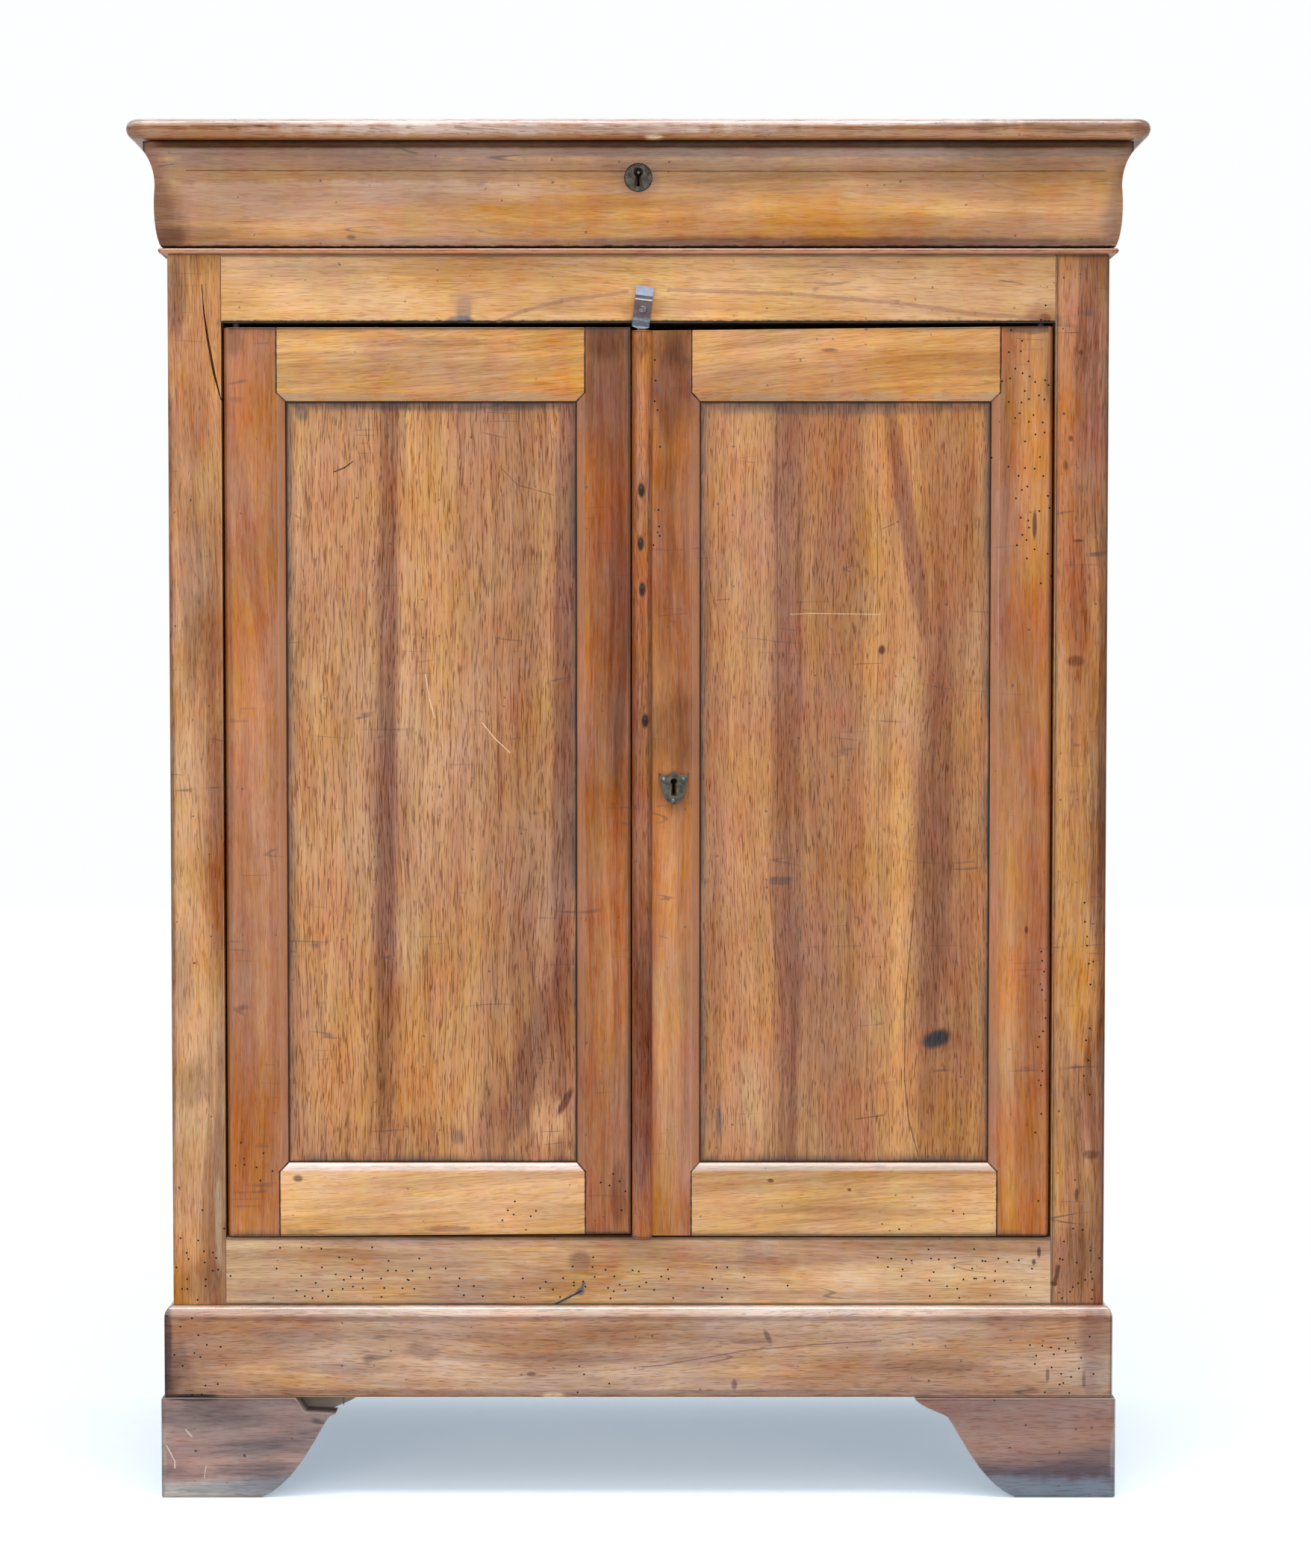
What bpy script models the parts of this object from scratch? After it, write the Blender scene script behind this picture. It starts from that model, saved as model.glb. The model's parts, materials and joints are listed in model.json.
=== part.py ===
"""Walnut side cabinet: an ogee-fronted drawer over two framed doors, on a plinth with bracket feet.

Metres, +Z up. The origin is on the floor under the middle of the top board, and the front faces -Y.
"""

import math

import bmesh
import bpy
from mathutils import Matrix, Vector
from mathutils.geometry import interpolate_bezier

MM = 0.001
FIT = 0.3 * MM
ROUND_SIDES = 24
CURVE_STEPS = 10
SMALL_CURVE_STEPS = 6
AXIS_MARK = 30 * MM

# Case and top
CASE_WIDTH = 922 * MM
CASE_DEPTH = 425 * MM
TOP_OVERHANG = 35 * MM
TOP_BACK_OVERHANG = 10 * MM
TOP_THICKNESS = 18.5 * MM
TOP_NOSE = 7 * MM
TOP_CORNER = 10 * MM

# Heights, from the floor up
FOOT_HEIGHT = 99.7 * MM
PLINTH_HEIGHT = 90.6 * MM
LOWER_RAIL_HEIGHT = 66.7 * MM
OPENING_HEIGHT = 902 * MM
UPPER_RAIL_HEIGHT = 66.5 * MM
BEAD_THICKNESS = 5.3 * MM
FRIEZE_HEIGHT = 102.5 * MM

# Posts, rails and panels of the case
POST_WIDTH = 52.2 * MM
POST_DEPTH = 45 * MM
BACK_POST_WIDTH = 45 * MM
BACK_POST_DEPTH = 40 * MM
RAIL_THICKNESS = 28 * MM
SIDE_PANEL_SETBACK = 6 * MM
SIDE_PANEL_THICKNESS = 15 * MM
GROOVE_DEPTH = 10 * MM
HOUSING_DEPTH = 6 * MM
BACK_BOARD_THICKNESS = 12 * MM
BOTTOM_THICKNESS = 18 * MM
BOTTOM_DROP = 4 * MM
SHELF_THICKNESS = 18 * MM
SHELF_RISE = 430 * MM
CLEAT = 20 * MM
TENON_LENGTH = 20 * MM
TENON_THICKNESS = 9 * MM
TENON_SHOULDER = 10 * MM

# Ogee of the frieze and drawer front, as offsets from the case and drops from its top
OGEE_FILLET = 10.4 * MM
OGEE_TOP_OFFSET = 19.9 * MM
OGEE_WAIST_OFFSET = 10.2 * MM
OGEE_WAIST_DROP = 43.3 * MM
OGEE_BULGE = 2 * MM
OGEE_BOTTOM_OFFSET = 5.1 * MM
BEAD_OFFSET = 7.8 * MM

# Drawer
DRAWER_FRONT_SEAT = 20 * MM
DRAWER_CLEARANCE = 1.4 * MM
DRAWER_SIDE_CLEARANCE = 2 * MM
DRAWER_SIDE_THICKNESS = 12 * MM
DRAWER_HEADROOM = 9 * MM
DRAWER_BACK_CLEARANCE = 13 * MM
DRAWER_BOTTOM_THICKNESS = 6 * MM
DRAWER_BOTTOM_RISE = 8 * MM
DRAWER_GROOVE = 5 * MM
DOVETAIL_LENGTH = 11 * MM
DOVETAIL_FLARE = 2 * MM
RUNNER_WIDTH = 40 * MM
RUNNER_HEIGHT = 26 * MM

# Plinth and feet
PLINTH_OFFSET = 8.2 * MM
PLINTH_THICKNESS = 30 * MM
PLINTH_ROUND = 11 * MM
FOOT_OFFSET = 11.1 * MM
FOOT_THICKNESS = 26 * MM
FOOT_LENGTH = 198.5 * MM
SIDE_FOOT_LENGTH = 150 * MM
FOOT_OGEE_LENGTH = 100 * MM
FOOT_OGEE_WAIST = (0.33, 0.19)
BACKING_THICKNESS = 30 * MM
BACKING_LIFT = 2 * MM
BACKING_TIP = 3 * MM
BREAK_LENGTH = 66 * MM
BREAK_DEPTH = 14 * MM
BREAK_ROUND = 10 * MM

# Doors
DOOR_THICKNESS = 24 * MM
DOOR_SETBACK = 0.5 * MM
DOOR_SIDE_GAP = 1.5 * MM
MEETING_GAP = 1.5 * MM
MEETING_X = -7 * MM
HINGE_STILE = 52.3 * MM
LEFT_MEETING_STILE = 44.7 * MM
RIGHT_MEETING_STILE = 58.5 * MM
DOOR_TOP_RAIL = 68 * MM
DOOR_BOTTOM_RAIL = 66 * MM
MOULDING_WIDTH = 8 * MM
MOULDING_DEPTH = 6 * MM
MOULDING_SWELL = 0.6 * MM
STILE_ROUND = 8 * MM
PANEL_RECESS = 8 * MM
PANEL_THICKNESS = 8 * MM
PANEL_GROOVE = 7 * MM
LEFT_TOP_GAPS = (4.6 * MM, 4.6 * MM)
LEFT_BOTTOM_GAPS = (1.4 * MM, 4.4 * MM)
RIGHT_TOP_GAPS = (3.4 * MM, 7.8 * MM)
RIGHT_BOTTOM_GAPS = (2 * MM, 2.4 * MM)
MEETING_BEAD_WIDTH = 20 * MM
MEETING_BEAD_PROUD = 8 * MM

# Pivots, turn button and locks
PIVOT_INSET = 12 * MM
PIVOT_DEPTH = 11 * MM
PIVOT_RADIUS = 3.5 * MM
PIVOT_REACH = 12 * MM
PIVOT_FLANGE = 8 * MM
PIVOT_FLANGE_THICKNESS = 3 * MM
PIVOT_COLLAR = 6 * MM
BUTTON_X = 4.1 * MM
BUTTON_RISE = 12.6 * MM
BUTTON_WIDTH = 17 * MM
BUTTON_THICKNESS = 2 * MM
BUTTON_REACH = 19.3 * MM
BUTTON_TAB = 21.6 * MM
BUTTON_JOGGLE = 3 * MM
BUTTON_JOGGLE_START = 7.7 * MM
BUTTON_JOGGLE_END = 11.6 * MM
BUTTON_TAB_START = 9.8 * MM
BUTTON_TAB_FLARE = 7 * MM
BUTTON_TILT = math.radians(6.8)
SCREW_RADIUS = 2.2 * MM
SCREW_HEAD = 4.2 * MM
SCREW_LENGTH = 20 * MM
KEYHOLE_RADIUS = 2.8 * MM
KEYHOLE_SLOT = 2.4 * MM
KEYHOLE_DROP = 13 * MM
SHIELD_WIDTH = 30 * MM
SHIELD_HEIGHT = 33.5 * MM
SHIELD_HORN_DROP = 1.8 * MM
SHIELD_DIP = 3.3 * MM
SHIELD_THICKNESS = 1.5 * MM
SHIELD_X = 35 * MM
SHIELD_RISE = 446.7 * MM
SHIELD_KEYHOLE_RISE = 6 * MM
BUSH_RADIUS = 13.5 * MM
BUSH_THICKNESS = 4 * MM
BUSH_DROP = 35 * MM
LOCK_THICKNESS = 14 * MM
DOOR_LOCK_INSET = 3 * MM
DOOR_LOCK_WIDTH = 46 * MM
DOOR_LOCK_HEIGHT = 60 * MM
DOOR_BOLT_LENGTH = 34 * MM
DOOR_BOLT_HEIGHT = 14 * MM
DOOR_BOLT_TRAVEL = 10 * MM
DRAWER_LOCK_WIDTH = 54 * MM
DRAWER_LOCK_HEIGHT = 46 * MM
DRAWER_BOLT_WIDTH = 18 * MM
DRAWER_BOLT_LENGTH = 30 * MM
DRAWER_BOLT_TRAVEL = 7 * MM
BOLT_THICKNESS = 5 * MM
BOLT_POCKET_CLEARANCE = 1 * MM

# Planes and levels that several pieces share
HALF = CASE_WIDTH / 2
TOP_DEPTH = CASE_DEPTH + TOP_OVERHANG + TOP_BACK_OVERHANG
FRONT = TOP_OVERHANG - TOP_DEPTH / 2
BACK = FRONT + CASE_DEPTH
INNER_HALF = HALF - SIDE_PANEL_SETBACK - SIDE_PANEL_THICKNESS
OPENING_HALF = HALF - POST_WIDTH
POST_BACK = FRONT + POST_DEPTH
BACK_POST_FRONT = BACK - BACK_POST_DEPTH
BACK_INSIDE = BACK - BACK_BOARD_THICKNESS
Z_PLINTH = FOOT_HEIGHT
Z_CASE = Z_PLINTH + PLINTH_HEIGHT
Z_OPENING = Z_CASE + LOWER_RAIL_HEIGHT
Z_RAIL = Z_OPENING + OPENING_HEIGHT
Z_BEAD = Z_RAIL + UPPER_RAIL_HEIGHT
Z_FRIEZE = Z_BEAD + BEAD_THICKNESS
Z_TOP = Z_FRIEZE + FRIEZE_HEIGHT
Z_BOTTOM = Z_OPENING - BOTTOM_DROP
Z_SHELF = Z_BOTTOM + SHELF_RISE
Z_DRAWER = Z_FRIEZE + DRAWER_CLEARANCE
DRAWER_SEAT = FRONT + DRAWER_FRONT_SEAT
DRAWER_END = BACK_INSIDE - DRAWER_BACK_CLEARANCE
DOOR_FRONT = FRONT + DOOR_SETBACK
DOOR_BACK = DOOR_FRONT + DOOR_THICKNESS

# Finishes: colour, roughness, metallic
WALNUT = ((0.27, 0.12, 0.04), 0.38, 0.0)
DARK_WALNUT = ((0.18, 0.07, 0.025), 0.4, 0.0)
PANEL_WALNUT = ((0.22, 0.1, 0.04), 0.4, 0.0)
PLAIN_WOOD = ((0.36, 0.24, 0.12), 0.7, 0.0)
IRON = ((0.08, 0.075, 0.07), 0.5, 1.0)
OLD_BRASS = ((0.22, 0.19, 0.12), 0.45, 1.0)

for old in list(bpy.data.objects):
    bpy.data.objects.remove(old, do_unlink=True)


def make_material(name, finish):
    """One Principled material for a piece, from its colour, roughness and metallic value."""
    colour, roughness, metallic = finish
    material = bpy.data.materials.new(name)
    material.use_nodes = True
    shader = material.node_tree.nodes["Principled BSDF"]
    shader.inputs["Base Color"].default_value = (*colour, 1)
    shader.inputs["Roughness"].default_value = roughness
    shader.inputs["Metallic"].default_value = metallic
    return material


def add_object(name, bm, finish):
    """Object from a closed mesh. With no finish it is a cutter, which isn't rendered."""
    bmesh.ops.recalc_face_normals(bm, faces=bm.faces)
    mesh = bpy.data.meshes.new(name)
    bm.to_mesh(mesh)
    bm.free()
    mesh.shade_smooth()
    mesh.set_sharp_from_angle(angle=math.radians(35))
    obj = bpy.data.objects.new(name, mesh)
    bpy.context.scene.collection.objects.link(obj)
    if finish:
        mesh.materials.append(make_material(name + "_finish", finish))
    else:
        obj.hide_render = True
        obj.display_type = "WIRE"
    return obj


def rectangle(first, second):
    """Four corners from two (low, high) pairs."""
    return [(first[0], second[0]), (first[1], second[0]), (first[1], second[1]), (first[0], second[1])]


def arc(centre, radii, start, stop, steps=CURVE_STEPS):
    """Points along part of an ellipse, in degrees."""
    angles = [math.radians(start + (stop - start) * i / steps) for i in range(steps + 1)]
    return [(centre[0] + radii[0] * math.cos(a), centre[1] + radii[1] * math.sin(a)) for a in angles]


def circle(centre, radius):
    return arc(centre, (radius, radius), 0, 360, ROUND_SIDES)[:-1]


def bezier(start, first_handle, second_handle, end, steps=CURVE_STEPS):
    """Points along a cubic curve in a plane."""
    knots = [Vector((*point, 0)) for point in (start, first_handle, second_handle, end)]
    return [(point.x, point.y) for point in interpolate_bezier(*knots, steps + 1)]


def ring(outline, axis, level):
    """A plane outline set at a level along an axis."""
    if axis == "X":
        return [(level, a, b) for a, b in outline]
    if axis == "Y":
        return [(a, level, b) for a, b in outline]
    return [(a, b, level) for a, b in outline]


def loft(name, rings, finish=None):
    """Closed solid through rings that have as many points each."""
    bm = bmesh.new()
    loops = [[bm.verts.new(point) for point in points] for points in rings]
    for low, high in zip(loops, loops[1:]):
        for i in range(len(low)):
            j = (i + 1) % len(low)
            bm.faces.new((low[i], low[j], high[j], high[i]))
    bm.faces.new(loops[0])
    bm.faces.new(loops[-1])
    return add_object(name, bm, finish)


def prism(name, outline, axis, span, finish=None):
    """Outline carried straight along an axis."""
    return loft(name, [ring(outline, axis, level) for level in span], finish)


def board(name, x, y, z, finish=None):
    """Square-edged board or block from three (low, high) pairs."""
    return prism(name, rectangle(x, y), "Z", z, finish)


def turned(name, centre, axis, steps, finish=None):
    """Round solid from (level, radius) steps along an axis."""
    return loft(name, [ring(circle(centre, radius), axis, level) for level, radius in steps], finish)


def cut(piece, cutter):
    modifier = piece.modifiers.new(cutter.name, "BOOLEAN")
    modifier.operation = "DIFFERENCE"
    modifier.object = cutter


def join(piece, addition):
    modifier = piece.modifiers.new(addition.name, "BOOLEAN")
    modifier.operation = "UNION"
    modifier.object = addition


def grown(span, amount):
    return (span[0] - amount, span[1] + amount)


def hang(pivot, pieces):
    """Parents pieces and their cutters to the empty on their joint's axis."""
    for piece in pieces:
        helpers = [m.object for m in piece.modifiers if m.type == "BOOLEAN"]
        for item in (piece, *helpers):
            item.parent = pivot
            item.matrix_parent_inverse = Matrix.Translation(-pivot.location)


def add_pivot(name, location):
    pivot = bpy.data.objects.new(name, None)
    pivot.location = location
    pivot.empty_display_size = AXIS_MARK
    bpy.context.scene.collection.objects.link(pivot)
    return pivot


def tenon_joint(rail, post, shoulder, direction, y_middle, z):
    """Stub tenon on a rail's end and its mortise in the upright that it meets at the shoulder."""
    tip = shoulder + direction * (TENON_LENGTH - FIT)
    root = shoulder - direction * TENON_LENGTH
    y = (y_middle - TENON_THICKNESS / 2, y_middle + TENON_THICKNESS / 2)
    join(rail, board(rail.name + "_tenon", sorted((root, tip)), y, z))
    mouth = sorted((root, shoulder + direction * TENON_LENGTH))
    cut(post, board(post.name + "_mortise", mouth, grown(y, FIT), grown(z, FIT)))


def mix(first, second, share):
    return first + (second - first) * share


def side_name(side):
    return "left" if side < 0 else "right"


def ogee():
    """(offset, height) points of the frieze moulding, from its fillet down to the drawer's lower edge."""
    fillet = Z_TOP - OGEE_FILLET
    waist = Z_TOP - OGEE_WAIST_DROP
    cove = bezier(
        (OGEE_TOP_OFFSET, fillet),
        (mix(OGEE_TOP_OFFSET, OGEE_WAIST_OFFSET, 0.66), mix(fillet, waist, 0.25)),
        (OGEE_WAIST_OFFSET, mix(fillet, waist, 0.6)),
        (OGEE_WAIST_OFFSET, waist),
    )
    belly = bezier(
        (OGEE_WAIST_OFFSET, waist),
        (OGEE_WAIST_OFFSET + OGEE_BULGE, mix(waist, Z_DRAWER, 0.4)),
        (OGEE_WAIST_OFFSET, mix(waist, Z_DRAWER, 0.85)),
        (OGEE_BOTTOM_OFFSET, Z_DRAWER),
    )
    return cove + belly[1:]


def returned_ring(offset, z, back):
    """Rectangle that stands out from the case by an offset at the front and at both ends."""
    return ring(rectangle((-HALF - offset, HALF + offset), (FRONT - offset, back)), "Z", z)


def stepped(name, steps, z, finish):
    """Board whose (half width, front, back) steps let it fit round the posts."""
    right = [point for half, front, back in steps for point in ((half, front), (half, back))]
    left = [(-x, y) for x, y in reversed(right)]
    return prism(name, right + left, "Z", z, finish)


# Top board: bullnosed along the front and both ends, square at the back
def top_ring(inset, z):
    half = HALF + TOP_OVERHANG - inset
    front = FRONT - TOP_OVERHANG + inset
    back = BACK + TOP_BACK_OVERHANG
    radius = TOP_CORNER
    left = arc((radius - half, front + radius), (radius, radius), 180, 270)
    right = arc((half - radius, front + radius), (radius, radius), 270, 360)
    return ring([(half, back), (-half, back), *left, *right], "Z", z)


nose = arc((0, TOP_THICKNESS / 2), (TOP_NOSE, TOP_THICKNESS / 2), -90, 90)
top_board = loft("top_board", [top_ring(TOP_NOSE - out, Z_TOP + rise) for out, rise in nose], WALNUT)

# Posts, grooved for the side panels; the back ones are rebated for the back boards
panel_groove = (INNER_HALF - FIT, HALF - SIDE_PANEL_SETBACK + FIT)
posts = {}
for side in (-1, 1):
    groove_end = POST_BACK - GROOVE_DEPTH
    outline = [
        (OPENING_HALF, FRONT),
        (HALF, FRONT),
        (HALF, POST_BACK),
        (panel_groove[1], POST_BACK),
        (panel_groove[1], groove_end),
        (panel_groove[0], groove_end),
        (panel_groove[0], POST_BACK),
        (OPENING_HALF, POST_BACK),
    ]
    outline = [(side * x, y) for x, y in outline]
    posts[side] = prism(side_name(side) + "_front_post", outline, "Z", (Z_CASE, Z_BEAD - FIT), WALNUT)

    inner = HALF - BACK_POST_WIDTH
    groove_end = BACK_POST_FRONT + GROOVE_DEPTH
    outline = [
        (inner, BACK_POST_FRONT),
        (panel_groove[0], BACK_POST_FRONT),
        (panel_groove[0], groove_end),
        (panel_groove[1], groove_end),
        (panel_groove[1], BACK_POST_FRONT),
        (HALF, BACK_POST_FRONT),
        (HALF, BACK),
        (INNER_HALF, BACK),
        (INNER_HALF, BACK_INSIDE - FIT),
        (inner, BACK_INSIDE - FIT),
    ]
    outline = [(side * x, y) for x, y in outline]
    prism(side_name(side) + "_back_post", outline, "Z", (Z_CASE, Z_BEAD - FIT), PLAIN_WOOD)

# Side panels, housed for the case bottom, with the cleats that carry the shelf
bottom_z = (Z_BOTTOM - BOTTOM_THICKNESS, Z_BOTTOM)
housing_z = grown(bottom_z, FIT)
for side in (-1, 1):
    outer = HALF - SIDE_PANEL_SETBACK
    outline = [
        (outer, Z_CASE),
        (outer, Z_BEAD - FIT),
        (INNER_HALF, Z_BEAD - FIT),
        (INNER_HALF, housing_z[1]),
        (INNER_HALF + HOUSING_DEPTH, housing_z[1]),
        (INNER_HALF + HOUSING_DEPTH, housing_z[0]),
        (INNER_HALF, housing_z[0]),
        (INNER_HALF, Z_CASE),
    ]
    outline = [(side * x, z) for x, z in outline]
    span = (POST_BACK - GROOVE_DEPTH + FIT, BACK_POST_FRONT + GROOVE_DEPTH - FIT)
    prism(side_name(side) + "_side_panel", outline, "Y", span, PANEL_WALNUT)

    between_posts = (POST_BACK + FIT, BACK_POST_FRONT - FIT)
    cleat_x = sorted((side * (INNER_HALF - CLEAT), side * (INNER_HALF - FIT)))
    cleat_top = Z_SHELF - SHELF_THICKNESS - FIT
    cleat_z = (cleat_top - CLEAT, cleat_top)
    board(side_name(side) + "_shelf_cleat", cleat_x, between_posts, cleat_z, PLAIN_WOOD)

    runner_x = sorted((side * (INNER_HALF - RUNNER_WIDTH), side * (INNER_HALF - FIT)))
    runner_z = (Z_DRAWER - FIT - RUNNER_HEIGHT, Z_DRAWER - FIT)
    board(side_name(side) + "_drawer_runner", runner_x, between_posts, runner_z, PLAIN_WOOD)

# Front rails, tenoned into the posts; the lower one is grooved for the case bottom
rail_x = (FIT - OPENING_HALF, OPENING_HALF - FIT)
rail_y = (FRONT, FRONT + RAIL_THICKNESS)
upper_front_rail = board("upper_front_rail", rail_x, rail_y, (Z_RAIL, Z_BEAD - FIT), WALNUT)
groove_front = rail_y[1] - HOUSING_DEPTH
outline = [
    (rail_y[0], Z_CASE),
    (rail_y[1], Z_CASE),
    (rail_y[1], housing_z[0]),
    (groove_front, housing_z[0]),
    (groove_front, housing_z[1]),
    (rail_y[1], housing_z[1]),
    (rail_y[1], Z_OPENING),
    (rail_y[0], Z_OPENING),
]
lower_front_rail = prism("lower_front_rail", outline, "X", rail_x, WALNUT)
rail_middle = FRONT + (RAIL_THICKNESS - HOUSING_DEPTH) / 2
for side in (-1, 1):
    for rail, low, high in ((upper_front_rail, Z_RAIL, Z_BEAD), (lower_front_rail, Z_CASE, Z_OPENING)):
        tenon_z = (low + TENON_SHOULDER, high - TENON_SHOULDER)
        tenon_joint(rail, posts[side], side * OPENING_HALF, side, rail_middle, tenon_z)

# Case bottom, shelf and back boards
notched_back = (HALF - BACK_POST_WIDTH - FIT, BACK_POST_FRONT - FIT, BACK_INSIDE - FIT)
bottom_steps = [
    (OPENING_HALF - FIT, groove_front + FIT, POST_BACK + FIT),
    (INNER_HALF + HOUSING_DEPTH - FIT, POST_BACK + FIT, BACK_POST_FRONT - FIT),
    notched_back,
]
stepped("case_bottom", bottom_steps, bottom_z, PLAIN_WOOD)
shelf_steps = [(INNER_HALF - FIT, POST_BACK + FIT, BACK_POST_FRONT - FIT), notched_back]
stepped("shelf", shelf_steps, (Z_SHELF - SHELF_THICKNESS, Z_SHELF), PLAIN_WOOD)
for side in (-1, 1):
    back_x = sorted((side * FIT / 2, side * (INNER_HALF - FIT)))
    board("back_board_" + side_name(side), back_x, (BACK_INSIDE, BACK), (Z_CASE, Z_TOP - FIT), PLAIN_WOOD)

# Frieze: the sides carry the drawer front's ogee and the bead below it round to the back
bead_radius = BEAD_THICKNESS / 2
bead_nose = arc((BEAD_OFFSET - bead_radius, Z_BEAD + bead_radius), (bead_radius, bead_radius), -90, 90)
bead_rings = [returned_ring(offset, z, DRAWER_SEAT) for offset, z in bead_nose]
loft("drawer_rail_bead", bead_rings, WALNUT)
for side in (-1, 1):
    inner = INNER_HALF - HALF
    moulding = [(OGEE_TOP_OFFSET, Z_TOP - FIT), *ogee(), *reversed(bead_nose)]
    outline = [(inner, Z_BEAD), (inner, Z_TOP - FIT), *moulding]
    outline = [(side * (HALF + offset), z) for offset, z in outline]
    prism(side_name(side) + "_frieze_side", outline, "Y", (DRAWER_SEAT + FIT, BACK), WALNUT)

# Drawer: a solid ogee front, sides slid up into it on dovetails, bottom in grooves
drawer_outer = INNER_HALF - DRAWER_SIDE_CLEARANCE
drawer_inner = drawer_outer - DRAWER_SIDE_THICKNESS
drawer_z = (Z_DRAWER, Z_TOP - DRAWER_HEADROOM)
front_profile = [(OGEE_TOP_OFFSET, Z_TOP - DRAWER_CLEARANCE), *ogee()]
front_rings = [returned_ring(offset, z, DRAWER_SEAT) for offset, z in front_profile]
drawer_front = loft("drawer_front", front_rings, WALNUT)
base = drawer_z[0] + DRAWER_BOTTOM_RISE
drawer_bottom_z = (base, base + DRAWER_BOTTOM_THICKNESS)
groove_half = drawer_inner + DRAWER_GROOVE
drawer_groove = board(
    "drawer_bottom_groove",
    (-groove_half, groove_half),
    (DRAWER_SEAT - DRAWER_GROOVE, DRAWER_END + DRAWER_GROOVE),
    grown(drawer_bottom_z, FIT),
)
cut(drawer_front, drawer_groove)
drawer_pieces = [drawer_front]
for side in (-1, 1):
    shoulder = DRAWER_SEAT + FIT
    tip = DRAWER_SEAT - DOVETAIL_LENGTH
    outline = [
        (drawer_inner, DRAWER_END),
        (drawer_outer, DRAWER_END),
        (drawer_outer, shoulder),
        (drawer_outer - DOVETAIL_FLARE, shoulder),
        (drawer_outer, tip + FIT),
        (drawer_inner, tip + FIT),
        (drawer_inner + DOVETAIL_FLARE, shoulder),
        (drawer_inner, shoulder),
    ]
    outline = [(side * x, y) for x, y in outline]
    drawer_side = prism("drawer_" + side_name(side) + "_side", outline, "Z", drawer_z, PLAIN_WOOD)
    cut(drawer_side, drawer_groove)
    socket = [
        (drawer_outer - DOVETAIL_FLARE + FIT, shoulder),
        (drawer_outer + FIT, tip),
        (drawer_inner - FIT, tip),
        (drawer_inner + DOVETAIL_FLARE - FIT, shoulder),
    ]
    socket = [(side * x, y) for x, y in socket]
    socket_z = (Z_FRIEZE, drawer_z[1] + FIT)
    cut(drawer_front, prism(drawer_side.name + "_socket", socket, "Z", socket_z))
    drawer_pieces.append(drawer_side)
bottom_half = groove_half - FIT
bottom_y = (DRAWER_SEAT - DRAWER_GROOVE + FIT, DRAWER_END)
drawer_pieces += [
    board("drawer_bottom", (-bottom_half, bottom_half), bottom_y, drawer_bottom_z, PLAIN_WOOD),
    board(
        "drawer_back",
        (FIT - drawer_inner, drawer_inner - FIT),
        (DRAWER_END - DRAWER_SIDE_THICKNESS, DRAWER_END),
        (drawer_bottom_z[1] + FIT, drawer_z[1]),
        PLAIN_WOOD,
    ),
]


# Drawer lock: round key bush let into the front, case behind it, bolt that rises into the top board
def keyhole(name, x, z, span):
    """Cutter for a round-topped keyhole whose slot runs down from its round."""
    turn = math.degrees(math.acos(KEYHOLE_SLOT / 2 / KEYHOLE_RADIUS))
    round_top = arc((x, z), (KEYHOLE_RADIUS, KEYHOLE_RADIUS), -turn, 180 + turn, ROUND_SIDES)
    half_slot = KEYHOLE_SLOT / 2
    slot_end = [(x - half_slot, z - KEYHOLE_DROP), (x + half_slot, z - KEYHOLE_DROP)]
    return prism(name, round_top + slot_end, "Y", span)


bush_z = Z_TOP - BUSH_DROP
bush_back = FRONT - OGEE_WAIST_OFFSET + BUSH_THICKNESS - SHIELD_THICKNESS
bush_steps = [(bush_back, BUSH_RADIUS), (bush_back - BUSH_THICKNESS, BUSH_RADIUS)]
drawer_key_bush = turned("drawer_key_bush", (0, bush_z), "Y", bush_steps, OLD_BRASS)
recess = [(bush_back + FIT, BUSH_RADIUS + FIT), (FRONT - TOP_OVERHANG, BUSH_RADIUS + FIT)]
cut(drawer_front, turned("key_bush_recess", (0, bush_z), "Y", recess))

drawer_lock_y = (DRAWER_SEAT + FIT, DRAWER_SEAT + LOCK_THICKNESS)
drawer_lock_top = Z_TOP - DRAWER_CLEARANCE
half_lock = DRAWER_LOCK_WIDTH / 2
drawer_lock_z = (drawer_lock_top - DRAWER_LOCK_HEIGHT, drawer_lock_top)
drawer_lock_case = board("drawer_lock_case", (-half_lock, half_lock), drawer_lock_y, drawer_lock_z, IRON)
bolt_x = (-DRAWER_BOLT_WIDTH / 2, DRAWER_BOLT_WIDTH / 2)
bolt_middle = sum(drawer_lock_y) / 2
bolt_y = (bolt_middle - BOLT_THICKNESS / 2, bolt_middle + BOLT_THICKNESS / 2)
bolt_z = (drawer_lock_top - DRAWER_BOLT_LENGTH, drawer_lock_top)
drawer_lock_bolt = board("drawer_lock_bolt", bolt_x, bolt_y, bolt_z, IRON)
channel_z = (bolt_z[0] - FIT, bolt_z[1] + DRAWER_BOLT_TRAVEL)
channel = board("drawer_bolt_channel", grown(bolt_x, FIT), grown(bolt_y, FIT), channel_z)
cut(drawer_lock_case, channel)
pocket_z = (Z_TOP - DRAWER_CLEARANCE, Z_TOP + DRAWER_BOLT_TRAVEL)
pocket_x = grown(bolt_x, BOLT_POCKET_CLEARANCE)
pocket_y = grown(bolt_y, BOLT_POCKET_CLEARANCE)
cut(top_board, board("drawer_bolt_pocket", pocket_x, pocket_y, pocket_z))

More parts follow.
